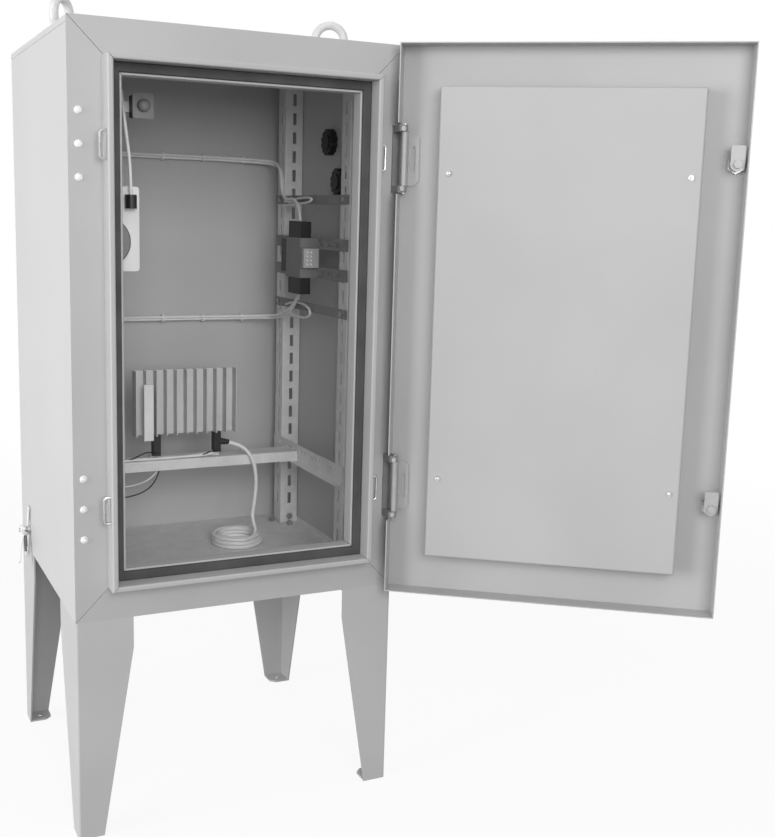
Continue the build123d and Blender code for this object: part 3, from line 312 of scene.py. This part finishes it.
# %% Finishes
finishes = {
    # Baked powder coat on folded sheet: an even, quiet grey
    "body_paint": powder_coat("body_powder_coat", "#C6C6C6", "#CACACA"),
    "frame_paint": powder_coat("frame_powder_coat", "#B7B7B7", "#BCBCBC"),
    "leg_paint": powder_coat("leg_powder_coat", "#BCBCBC", "#C2C2C2"),
    "door_paint": powder_coat("door_powder_coat", "#B1B1B1", "#B7B7B7"),
    # The panel's coat is flatter, so it catches less of the lamps
    "panel_paint": powder_coat("panel_powder_coat", "#B4B4B4", "#B9B9B9", 0.5),
    # Foamed EPDM rubber: dark, matt and open-pored
    "gasket_rubber": moulded("foamed_epdm_rubber", "#484848", "#545454", 0.85, 2.0, 0.3),
    # Die-cast zinc with a dark passivation: soft and grey
    "hinge_zinc": crystalline("die_cast_zinc", "#7C7C7C", "#8C8C8C", 0.45, 9.0, DULL),
    # Stainless steel: bright, with small sharp highlights
    "stainless_steel": crystalline("stainless_steel", "#A4A4A4", "#CCCCCC", 0.3, 4.0),
    # Plated steel of the locks: satin, close to the paint round it
    "lock_zinc": crystalline("plated_lock_steel", "#A6A6A6", "#B6B6B6", 0.4, 5.0, DULL),
    # Forged eyes dipped in zinc: pale and rounded off
    "eye_zinc": crystalline("forged_zinc_plate", "#D0D0D0", "#DEDEDE", 0.4, 6.0, DULL),
    # Hot-dip galvanised sheet gone dull: pale, with faint crystals; its paleness is partly painted
    # light, a lighter copy that brightens the uprights and beam beyond what reaches them inside
    "galvanised_steel": crystalline("pale_zinc_with_painted_light", "#E2E2E2", "#F0F0F0", 0.55, 14.0,
                                    DULL),
    # Mill-finish aluminium extrusion: paler still along the fins
    "heater_aluminium": crystalline("mill_finish_aluminium", "#CACACA", "#D8D8D8", 0.5, 60.0,
                                    DULL),
    # Black powder coat on the controller's mounting plate
    "dark_steel": powder_coat("black_powder_coat", "#3A3A3A", "#454545"),
    # Glass-filled polyamide: near black, half matt
    "black_plastic": moulded("black_polyamide", "#1E1E1E", "#2A2A2A", 0.45),
    # ABS housings: mid grey with a fine spark texture
    "grey_plastic": moulded("grey_abs", "#7E7E7E", "#888888", 0.45),
    # White ABS and PVC: bright, slightly glossy
    "white_plastic": moulded("white_abs", "#F0F0F0", "#F8F8F8", 0.4),
    "cable_white": moulded("white_pvc", "#F2F2F2", "#FAFAFA", 0.38, 3.0, 0.05),
    # Woven polyester tape: white and matt, with a coarse grain
    "strap_white": moulded("white_woven_tape", "#DEDEDE", "#EAEAEA", 0.7, 1.5, 0.3),
}
pale_front = moulded("pale_grey_abs", "#BCBCBC", "#C6C6C6", 0.4)
plug_cap = moulded("pale_polyamide_cap", "#D2D2D2", "#DADADA", 0.4)
# Painted shade: a darker copy of the pale zinc for the device arms and side strips, which lie in
# shade
shaded_bar = crystalline("painted_shade_zinc_bar", "#8E8E8E", "#A0A0A0", 0.6, 14.0, DULL)
hinge_leaf = crystalline("plated_hinge_leaf", "#A8A8A8", "#B6B6B6", 0.4, 9.0, DULL)
# Small acrylic lenses with a painted glow: an emission makes them shine though no lamp lights them
indicator = moulded("painted_glow_lens", "#F6F6F6", "#FFFFFF", 0.2)
lens = next(node for node in indicator.node_tree.nodes if node.type == "BSDF_PRINCIPLED")
LENS_GLOW = 0.6
lens.inputs["Emission Color"].default_value = (1, 1, 1, 1)
lens.inputs["Emission Strength"].default_value = LENS_GLOW

# %% [markdown]
# Each node takes the finish of its slot, and a few take a tone of their own
# because they are seen darker than the rest of their family.  On the device arms
# and side strips that darker zinc is painted shade.

# %% Finishes onto the nodes
own_finish = {
    # Painted shade on the device arms and side strips
    "device_arms": shaded_bar,
    "side_strips": shaded_bar,
    "hinge_door_leaves": hinge_leaf,
}
slots = {entry["node"]: entry["material_slot"] for entry in frame["record"]["subparts"]}
for name, piece in nodes.items():
    piece.data.materials.clear()
    piece.data.materials.append(own_finish.get(name, finishes[slots[name]]))
print(len(finishes), "finishes on", len(nodes), "nodes")

# %% [markdown]
# ## The free cord
# A white lead leaves the heater's right-hand terminal, drops in front of the
# cross-beam and ends in a small coil on the floor pan.  It is one open spline:
# the drop's points are listed, and a loop works out the coil's turns.

# %% Hanging cord and its coil
CORD = 8.0
DROP = [
    (80.8, 97, 622), (118, 92, 618), (146, 78, 590), (156, 77, 540), (151, 77.5, 488),
    (146, 77, 462), (148, 72, 444), (148, 59, 431), (138, 43, 424.5),
]
COIL_CENTRE = (113.0, 78.0)
PAN = 402.0
LIFT = 0.5
LAYER_STEP = 8.1
LAYERS = tuple(PAN + CORD / 2 + LIFT + LAYER_STEP * layer for layer in (2, 1, 0))
COLUMNS = (50.5, 41.5)
COIL_START = math.radians(-82)
STEPS = 16
EASING = 6

seats = []
for layer, height in enumerate(LAYERS):
    order = COLUMNS if layer % 2 == 0 else COLUMNS[::-1]
    seats += [(radius, height) for radius in order]
turn_points = []
for turn, seat in enumerate(seats):
    following = seats[min(turn + 1, len(seats) - 1)]
    for step in range(STEPS):
        ease = max(0, step - STEPS + EASING) / EASING
        radius, height = [a + (b - a) * ease for a, b in zip(seat, following)]
        angle = COIL_START - 2 * math.pi * step / STEPS
        turn_points.append((
            COIL_CENTRE[0] + radius * math.cos(angle),
            COIL_CENTRE[1] + radius * math.sin(angle),
            height,
        ))
route = [Vector(p) * MM for p in DROP + turn_points]

curve = bpy.data.curves.new("heater_lead", "CURVE")
curve.dimensions = "3D"
spline = curve.splines.new("NURBS")
spline.points.add(len(route) - 1)
for point, place in zip(spline.points, route):
    point.co = (*place, 1)
spline.order_u = 3
spline.use_endpoint_u = True
curve.bevel_depth = CORD / 2 * MM
curve.bevel_resolution = 3
curve.resolution_u = 3
curve.use_fill_caps = True
curve.materials.append(finishes["cable_white"])
lead = bpy.data.objects.new("heater_lead", curve)
bpy.context.scene.collection.objects.link(lead)
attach(lead, "cabinet")
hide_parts("hanging_cable", "cable_coil")
print("cord points", len(route))

# %% [markdown]
# ### Its sleeve
# A ribbed rubber sleeve keeps the lead from kinking at the terminal.  Its rings
# stand square to the lead's first stretch and step in and out to give the ribs.

# %% Ribbed sleeve
SLEEVE_SIDES = 24
SLEEVE_PROFILE = [
    (-1, 7.2), (3, 7.2), (4, 6.2), (6, 6.2), (7, 6.6), (10, 6.4), (11, 5.4), (13, 5.4),
    (14, 5.8), (17, 5.2), (18.5, 4.2),
]


def sleeve_rings():
    """Rings of the tapered sleeve that guards the lead where it leaves the terminal."""
    start, heading = Vector(DROP[0]), (Vector(DROP[1]) - Vector(DROP[0])).normalized()
    side = heading.cross(Vector((0, 0, 1))).normalized()
    top = side.cross(heading)
    angles = [2 * math.pi * step / SLEEVE_SIDES for step in range(SLEEVE_SIDES)]
    for along, radius in SLEEVE_PROFILE:
        yield [
            start + heading * along + radius * (side * math.cos(angle) + top * math.sin(angle))
            for angle in angles
        ]


form = bmesh.new()
rings = [[form.verts.new(spot * MM) for spot in ring] for ring in sleeve_rings()]
for lower, upper in zip(rings, rings[1:]):
    for step in range(SLEEVE_SIDES):
        form.faces.new((lower[step], lower[step - 1], upper[step - 1], upper[step]))
form.faces.new(rings[0])
form.faces.new(rings[-1])
bmesh.ops.recalc_face_normals(form, faces=form.faces)
sleeve_mesh = bpy.data.meshes.new("lead_sleeve")
form.to_mesh(sleeve_mesh)
form.free()
sleeve_mesh.materials.append(finishes["black_plastic"])
sleeve = bpy.data.objects.new("lead_sleeve", sleeve_mesh)
bpy.context.scene.collection.objects.link(sleeve)
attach(sleeve, "cabinet")

# %% [markdown]
# ### The cord's end
# Its far end lies bare under the coil.

# %% [markdown]
# ## Fixed cables
# White cables run from the junction box along the back wall, and down or up the
# right-hand upright to the controller.  Each is a bevelled curve, which stays
# round in its bends, where the CAD tube has flat sides to save faces.

# %% Fixed cable routes


def tube(name, routes, diameter, finish):
    """One curve object with a smooth round tube along each route, in millimetres."""
    data = bpy.data.curves.new(name, "CURVE")
    data.dimensions = "3D"
    for stops in routes:
        line = data.splines.new("NURBS")
        line.points.add(len(stops) - 1)
        for point, stop in zip(line.points, stops):
            point.co = (*(Vector(stop) * MM), 1)
        line.order_u = 3
        line.use_endpoint_u = True
    data.bevel_depth = diameter / 2 * MM
    data.bevel_resolution = 3
    data.resolution_u = 8
    data.use_fill_caps = True
    data.materials.append(finishes[finish])
    piece = bpy.data.objects.new(name, data)
    bpy.context.scene.collection.objects.link(piece)
    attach(piece, "cabinet")
    return piece


UPPER = [
    (-215, -87.4, 1098), (-218, 20, 1104), (-226, 150, 1210), (-190, 262, 1210),
    (246, 262, 1210), (248, 186, 1195), (247, 178, 1120), (238, 60, 1128), (222, 24, 1084.5),
]
LOWER = [
    (-200, -87.4, 1012), (-205, 0, 1000), (-226, 140, 874), (-190, 262, 865),
    (246, 262, 865), (248, 187, 872), (240, 84, 902), (222, 24, 936),
]
CONTROL = [(-176, -123, 1305), (-173, -137, 1240), (-167, -150, 1173), (-167, -150, 1113)]
CABLE = 6.0
BESIDE = 5.2


def neighbour(stops):
    """The second cable of a bundle, a cable's width beside the first."""
    middle = [(x - BESIDE, y - BESIDE, z + BESIDE) for x, y, z in stops[1:-1]]
    (x0, y0, z0), (x1, y1, z1) = stops[0], stops[-1]
    return [(x0 - 1.5 * BESIDE, y0, z0), *middle, (x1, y1 - 1.5 * BESIDE, z1)]


bundles = tube("wall_cables", [
    UPPER, neighbour(UPPER), LOWER, neighbour(LOWER), CONTROL], CABLE, "cable_white")
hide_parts("fixed_cables")
print("fixed cables", len(bundles.data.splines))

# %% [markdown]
# ### Loose wires
# The controller's spare ends hang in two short loops, two cables lie along the
# beam to the heater, and thin wires sag below it.  Each hangs free between two
# places on the cabinet, and each is listed with its own length.

# %% Loose wires


def loose_wire(name, stops, diameter, finish):
    """A wire that goes from the cabinet back into it, its sizes in millimetres."""
    piece = tube(name, [stops], diameter, finish)


LOOSE_WIRES = {
    "spare_loop_upper": (5.0, 306, "cable_white", [
        (246, 165, 1124), (245, 100, 1130), (244, 30, 1133), (243, 6, 1129), (243, 22, 1122),
        (243, 90, 1119), (244, 160, 1116)]),
    "spare_loop_lower": (5.0, 299, "cable_white", [
        (246, 150, 893), (243, 90, 884), (242, 20, 886), (242, 0, 899), (242, 25, 913),
        (243, 95, 916), (246, 150, 905)]),
    "beam_cable_front": (5.0, 329, "cable_white", [
        (-238, 96, 594.2), (-120, 93, 594.2), (0, 95, 594.2), (60, 92, 596), (76, 94, 606),
        (79, 97, 619)]),
    "beam_cable_back": (5.0, 323, "cable_white", [
        (-238, 103, 594.2), (-130, 100, 594.2), (-40, 101, 594.2), (40, 99, 594.2),
        (72, 99, 604), (76, 101, 618)]),
    "pale_wire": (2.5, 254, "cable_white", [
        (-52, 100, 570), (-66, 98, 551), (-110, 96, 538), (-175, 96, 541), (-296, 100, 556)]),
    "dark_wire": (2.6, 274, "black_plastic", [
        (-48, 106, 571), (-56, 98, 545), (-90, 96, 520), (-160, 96, 514), (-296, 100, 524)]),
    "dark_tail_left": (2.6, 92, "black_plastic", [
        (-58, 89, 606), (-76, 84, 613), (-96, 88, 604), (-112, 92, 595), (-140, 110, 593)]),
    "dark_tail_right": (2.6, 42, "black_plastic", [
        (70, 89, 604), (56, 84, 606), (44, 88, 598), (36, 98, 593.5)]),
}
for name, (diameter, length, finish, stops) in LOOSE_WIRES.items():
    loose_wire(name, stops, diameter, finish)
print("loose wires", len(LOOSE_WIRES))

# %% [markdown]
# ## Domed heads and indicator lights
# Round heads repeat all over the cabinet: on the frame, on the door's panel and
# on the controller as small lights.  One Geometry Nodes tree makes them.  It puts
# a domed half of a sphere on every point and takes the two sizes as inputs.

# %% Head tree
HEAD_SEGMENTS, HEAD_RINGS = 28, 14


def head_tree():
    """Node tree that sets a domed head on each vertex, facing as its Turn input says."""
    tree = bpy.data.node_groups.new("domed_heads", "GeometryNodeTree")
    face = tree.interface
    face.new_socket("Geometry", in_out="INPUT", socket_type="NodeSocketGeometry")
    face.new_socket("Head Diameter", in_out="INPUT", socket_type="NodeSocketFloat")
    face.new_socket("Dome Height", in_out="INPUT", socket_type="NodeSocketFloat")
    face.new_socket("Turn", in_out="INPUT", socket_type="NodeSocketRotation")
    face.new_socket("Finish", in_out="INPUT", socket_type="NodeSocketMaterial")
    face.new_socket("Geometry", in_out="OUTPUT", socket_type="NodeSocketGeometry")
    given = tree.nodes.new("NodeGroupInput")
    half = add_node(tree, "ShaderNodeMath", {"operation": "DIVIDE"})
    tree.links.new(given.outputs["Head Diameter"], half.inputs[0])
    half.inputs[1].default_value = 2
    ball = add_node(tree, "GeometryNodeMeshUVSphere", {
        "Segments": HEAD_SEGMENTS, "Rings": HEAD_RINGS,
    }, {"Radius": half.outputs[0]})
    place = add_node(tree, "GeometryNodeInputPosition")
    parts = add_node(tree, "ShaderNodeSeparateXYZ", {}, {"Vector": place.outputs[0]})
    above = add_node(tree, "ShaderNodeMath", {"operation": "MAXIMUM"})
    tree.links.new(parts.outputs["Z"], above.inputs[0])
    above.inputs[1].default_value = 0
    share = add_node(tree, "ShaderNodeMath", {"operation": "DIVIDE"})
    tree.links.new(above.outputs[0], share.inputs[0])
    tree.links.new(half.outputs[0], share.inputs[1])
    rise = add_node(tree, "ShaderNodeMath", {"operation": "MULTIPLY"})
    tree.links.new(share.outputs[0], rise.inputs[0])
    tree.links.new(given.outputs["Dome Height"], rise.inputs[1])
    joined = add_node(tree, "ShaderNodeCombineXYZ", {}, {
        "X": parts.outputs["X"], "Y": parts.outputs["Y"], "Z": rise.outputs[0]})
    dome = add_node(tree, "GeometryNodeSetPosition", {},
                    {"Geometry": ball.outputs["Mesh"], "Position": joined.outputs[0]})
    smooth = add_node(tree, "GeometryNodeSetShadeSmooth", {}, {"Geometry": dome.outputs[0]})
    heads = add_node(tree, "GeometryNodeInstanceOnPoints", {}, {
        "Points": given.outputs["Geometry"], "Instance": smooth.outputs[0],
        "Rotation": given.outputs["Turn"]})
    real = add_node(tree, "GeometryNodeRealizeInstances", {}, {"Geometry": heads.outputs[0]})
    coat = add_node(tree, "GeometryNodeSetMaterial", {}, {
        "Geometry": real.outputs[0], "Material": given.outputs["Finish"]})
    out = tree.nodes.new("NodeGroupOutput")
    tree.links.new(coat.outputs[0], out.inputs["Geometry"])
    return tree


HEADS = head_tree()


def domed_heads(name, spots, outward, diameter, height, finish, body):
    """Plain mesh of domed heads at the spots, in millimetres, facing outward."""
    seeds = bpy.data.meshes.new(name + "_spots")
    seeds.from_pydata([Vector(spot) * MM for spot in spots], [], [])
    maker = bpy.data.objects.new(name + "_spots", seeds)
    bpy.context.scene.collection.objects.link(maker)
    modifier = maker.modifiers.new("heads", "NODES")
    modifier.node_group = HEADS
    turn = Vector(outward).to_track_quat("Z", "Y").to_euler()
    values = {
        "Head Diameter": diameter * MM, "Dome Height": height * MM, "Turn": turn,
        "Finish": finishes[finish],
    }
    for item in HEADS.interface.items_tree:
        if item.in_out == "INPUT" and item.name in values:
            modifier[item.identifier] = values[item.name]
    graph = bpy.context.evaluated_depsgraph_get()
    mesh = bpy.data.meshes.new_from_object(maker.evaluated_get(graph), depsgraph=graph)
    bpy.data.objects.remove(maker)
    piece = bpy.data.objects.new(name, mesh)
    bpy.context.scene.collection.objects.link(piece)
    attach(piece, body)
    print(name, len(mesh.polygons), "faces")
    return piece


# %% [markdown]
# The frame has three plugged holes at each hinge, and the door's panel has a
# screw at each corner.  The door's spots are given with it shut, then turned.

# %% Heads on the frame and on the door's panel
HINGE = Vector((290, -302, 0))
OPEN = Matrix.Rotation(math.radians(144), 4, "Z")
HINGE_LEVELS = (599, 1201)
PLUG_STEP = 52.5


def on_open_door(x, y, z):
    """A point given with the door shut, turned to where the open door has it."""
    return OPEN @ (Vector((x, y, z)) - HINGE) + HINGE


plug_spots = [(-283, -278, level + step * PLUG_STEP) for level in HINGE_LEVELS for step in (-1, 0, 1)]
caps = domed_heads("plug_caps", plug_spots, (0, -1, 0), 13.4, 4.2, "white_plastic", "cabinet")
caps.data.materials[0] = plug_cap
panel_spots = [on_open_door(x, -282, z) for x in (-207, 207) for z in (624, 1176)]
domed_heads("panel_screw_heads", panel_spots, OPEN @ Vector((0, 1, 0)), 9.8, 3.2,
            "stainless_steel", "door")

# %% [markdown]
# ## Controller's front
# The controller's stepped front carries a pale plate with two rows of small
# lights.  The plate is a bevelled box, and the lights are more domed heads.

# %% Front plate and lights


def bevelled_box(name, low, high, edge, finish):
    """Box between two corners in millimetres, its edges rounded."""
    mesh = bpy.data.meshes.new(name)
    form = bmesh.new()
    bmesh.ops.create_cube(form, size=1)
    low, high = Vector(low), Vector(high)
    for vertex in form.verts:
        vertex.co = [(a + b) / 2 + c * (b - a) for a, b, c in zip(low, high, vertex.co)]
    bmesh.ops.bevel(form, geom=form.edges[:], offset=edge, segments=3, profile=0.5,
                    affect="EDGES")
    bmesh.ops.scale(form, vec=(MM, MM, MM), verts=form.verts)
    form.to_mesh(mesh)
    form.free()
    mesh.materials.append(finishes[finish])
    piece = bpy.data.objects.new(name, mesh)
    bpy.context.scene.collection.objects.link(piece)
    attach(piece, "cabinet")
    return piece


front = bevelled_box("controller_front", (220, -9.4, 991), (253, -7.5, 1030), 0.6,
                     "grey_plastic")
front.data.materials[0] = pale_front
light_spots = [(x, -9.3, z) for x in (228, 236) for z in (998, 1006, 1014, 1022)]
lights = domed_heads("controller_lights", light_spots, (0, -1, 0), 4.6, 1.6, "white_plastic",
                     "cabinet")
# The lights take the lens with the painted glow
lights.data.materials[0] = indicator
print("lights", len(light_spots))

# %% [markdown]
# ## Rotary knob
# A round knob with a shallow dome and a fluted skirt.  Turning a profile about
# its axis is how a lathe or a mould-maker would shape it, so the mesh is made
# ring by ring, and the skirt's radius waves in and out to give the flutes.

# %% Knob
KNOB_AT = Vector((-143.5, -146.8, 1278.5))
KNOB_PROFILE = [
    (11.0, 0.0), (11.0, 6.5), (10.6, 8.5), (9.4, 10.6), (7.2, 12.3), (4.4, 13.4), (1.8, 13.8),
]
KNOB_STEPS = 96
FLUTES = 16
SKIRT_FLUTE, CROWN_FLUTE = 0.45, 0.15
SKIRT_TOP = 8.0
form = bmesh.new()
rings = []
for radius, height in KNOB_PROFILE:
    ring = []
    for step in range(KNOB_STEPS):
        angle = 2 * math.pi * step / KNOB_STEPS
        depth = SKIRT_FLUTE if height < SKIRT_TOP else CROWN_FLUTE
        r = radius - depth * (1 + math.cos(FLUTES * angle)) / 2
        ring.append(form.verts.new((KNOB_AT + Vector(
            (r * math.cos(angle), -height, r * math.sin(angle)))) * MM))
    rings.append(ring)
for lower, upper in zip(rings, rings[1:]):
    for step in range(KNOB_STEPS):
        after = (step + 1) % KNOB_STEPS
        form.faces.new((lower[step], lower[after], upper[after], upper[step]))
form.faces.new(rings[0])
form.faces.new(rings[-1])
bmesh.ops.recalc_face_normals(form, faces=form.faces)
for face in form.faces:
    face.smooth = len(face.verts) == 4
knob_mesh = bpy.data.meshes.new("rotary_knob")
form.to_mesh(knob_mesh)
form.free()
knob_mesh.materials.append(finishes["grey_plastic"])
knob = bpy.data.objects.new("rotary_knob", knob_mesh)
bpy.context.scene.collection.objects.link(knob)
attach(knob, "knob")
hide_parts("control_knob")
print("knob faces", len(knob_mesh.polygons))

# %% [markdown]
# ## Earth strap
# A strip of white woven tape is knotted on the earth stud, and its ends hang off
# it.  A tape is a band with a width across its path, so each length is swept
# along a centreline, with its edges curled a little.  Two short grey tubes below
# it are painted shade: they stand for the shadow between the tails.

# %% Tape and knot
TAPE_THICKNESS = 1.4
TAPE_CURL = 1.6
PARTS = 6
PASSES = 3
HALF_ACROSS = 3


def tape(name, stops, widths):
    """Band of tape along the stops, in millimetres, its width lying along the wall."""
    form = bmesh.new()
    smooth = []
    for first, second in zip(stops, stops[1:]):
        for part in range(PARTS):
            smooth.append(Vector(first).lerp(Vector(second), part / PARTS))
    smooth.append(Vector(stops[-1]))
    for _ in range(PASSES):
        smooth = [smooth[0]] + [
            (a + 2 * b + c) / 4 for a, b, c in zip(smooth, smooth[1:], smooth[2:])
        ] + [smooth[-1]]
    rows = []
    for index, spot in enumerate(smooth):
        share = index / (len(smooth) - 1)
        width = widths[0] + (widths[1] - widths[0]) * share
        ahead = smooth[min(index + 1, len(smooth) - 1)] - smooth[max(index - 1, 0)]
        across = ahead.cross(Vector((1, 0, 0))).normalized()
        out = across.cross(ahead).normalized()
        row = []
        for step in range(-HALF_ACROSS, HALF_ACROSS + 1):
            curl = TAPE_CURL * (step / HALF_ACROSS) ** 2
            edge = across * width * step / (2 * HALF_ACROSS)
            row.append(form.verts.new((spot + edge + out * curl) * MM))
        rows.append(row)
    for lower, upper in zip(rows, rows[1:]):
        for step in range(2 * HALF_ACROSS):
            form.faces.new((lower[step], lower[step + 1], upper[step + 1], upper[step]))
    bmesh.ops.recalc_face_normals(form, faces=form.faces)
    bmesh.ops.solidify(form, geom=form.faces[:], thickness=TAPE_THICKNESS * MM)
    bmesh.ops.recalc_face_normals(form, faces=form.faces)
    mesh = bpy.data.meshes.new(name)
    form.to_mesh(mesh)
    form.free()
    for face in mesh.polygons:
        face.use_smooth = True
    mesh.materials.append(finishes["strap_white"])
    piece = bpy.data.objects.new(name, mesh)
    bpy.context.scene.collection.objects.link(piece)
    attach(piece, "cabinet")
    return piece


upper_tape = tape("strap_upper", [(-308, 178, 448), (-306, 179, 470), (-304, 178, 495)], (10, 17))
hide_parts("earth_strap")
front_tail = tape("strap_front_tail", [
    (-312, 176, 446), (-321, 166, 424), (-325, 158, 404), (-328, 150, 386)], (9, 15))
back_tail = tape("strap_back_tail", [
    (-311, 180, 445), (-313, 188, 424), (-309, 198, 402), (-307, 204, 384)], (9, 14))
knot = tube("strap_knot", [
    [(-311, 168, 449), (-319, 174, 455), (-318, 184, 451), (-311, 188, 444), (-305, 182, 438),
     (-308, 172, 438), (-316, 168, 443), (-318, 172, 450)],
], 8.0, "strap_white")
# Painted shade: two grey tubes stand where the shadow between the strap's tails falls
tail_shade = tube("tail_shadow_tubes", [
    [(-310, 175, 441), (-312, 172, 425), (-311, 172, 402)],
    [(-309, 183, 441), (-309, 186, 424), (-307, 188, 408)],
], 6.0, "grey_plastic")
print("strap", [piece.name for piece in (upper_tape, front_tail, back_tail, knot, tail_shade)])

# %% [markdown]
# ## Floor
# A plain pale floor takes the shadow.  The camera and the reflections see it
# almost white near the cabinet and quite white far off, so no horizon shows.
# The diffuse rays find a grey floor, so it throws little light up at the legs.

# %% Floor
FLOOR_GLOW = 0.9
SHADOW_REACH, WHITE_REACH = 1.2, 3.5
FLOOR_REACH = 14.0
FLOOR_CLOUD = 900.0
FLOOR_GREYS = ("#8C8C8C", "#909090")
FLOOR_ROUGH = 0.9
PAPER = (0.9, 0.9, 0.9, 1)

floor_mesh = bpy.data.meshes.new("studio_floor")
floor_mesh.from_pydata(
    [(x * FLOOR_REACH, y * FLOOR_REACH, 0) for x, y in ((-1, -1), (1, -1), (1, 1), (-1, 1))],
    [], [(0, 1, 2, 3)])
floor = bpy.data.objects.new("studio_floor", floor_mesh)
bpy.context.scene.collection.objects.link(floor)
floor_material, tree, shader, place = new_material("studio_floor")
cloud = add_node(tree, "ShaderNodeTexNoise", {"Scale": 1 / (FLOOR_CLOUD * MM)}, {"Vector": place})
colours = add_node(tree, "ShaderNodeValToRGB", {}, {"Fac": cloud.outputs["Fac"]})
for stop, position, tone in zip(colours.color_ramp.elements, CLOUD_SPAN, FLOOR_GREYS):
    stop.position, stop.color = position, linear(tone)
tree.links.new(colours.outputs["Color"], shader.inputs["Base Color"])
shader.inputs["Roughness"].default_value = FLOOR_ROUGH
paper = add_node(tree, "ShaderNodeBsdfDiffuse", {"Color": PAPER})
glow = add_node(tree, "ShaderNodeEmission", {"Color": (1, 1, 1, 1), "Strength": 1.0})
distance = add_node(tree, "ShaderNodeVectorMath", {"operation": "LENGTH"}, {"Vector": place})
fade = add_node(tree, "ShaderNodeMapRange", {
    "From Min": SHADOW_REACH, "From Max": WHITE_REACH, "To Min": FLOOR_GLOW, "To Max": 1.0,
}, {"Value": distance.outputs["Value"]})
backdrop = add_node(tree, "ShaderNodeMixShader", {}, {"Fac": fade.outputs["Result"]})
tree.links.new(paper.outputs[0], backdrop.inputs[1])
tree.links.new(glow.outputs[0], backdrop.inputs[2])
chosen = add_node(tree, "ShaderNodeMixShader", {}, {"Fac": direct_rays(tree)})
tree.links.new(shader.outputs[0], chosen.inputs[1])
tree.links.new(backdrop.outputs[0], chosen.inputs[2])
output = next(node for node in tree.nodes if node.type == "OUTPUT_MATERIAL")
tree.links.new(chosen.outputs[0], output.inputs["Surface"])
floor_mesh.materials.append(floor_material)
print("floor white from", WHITE_REACH, "m")
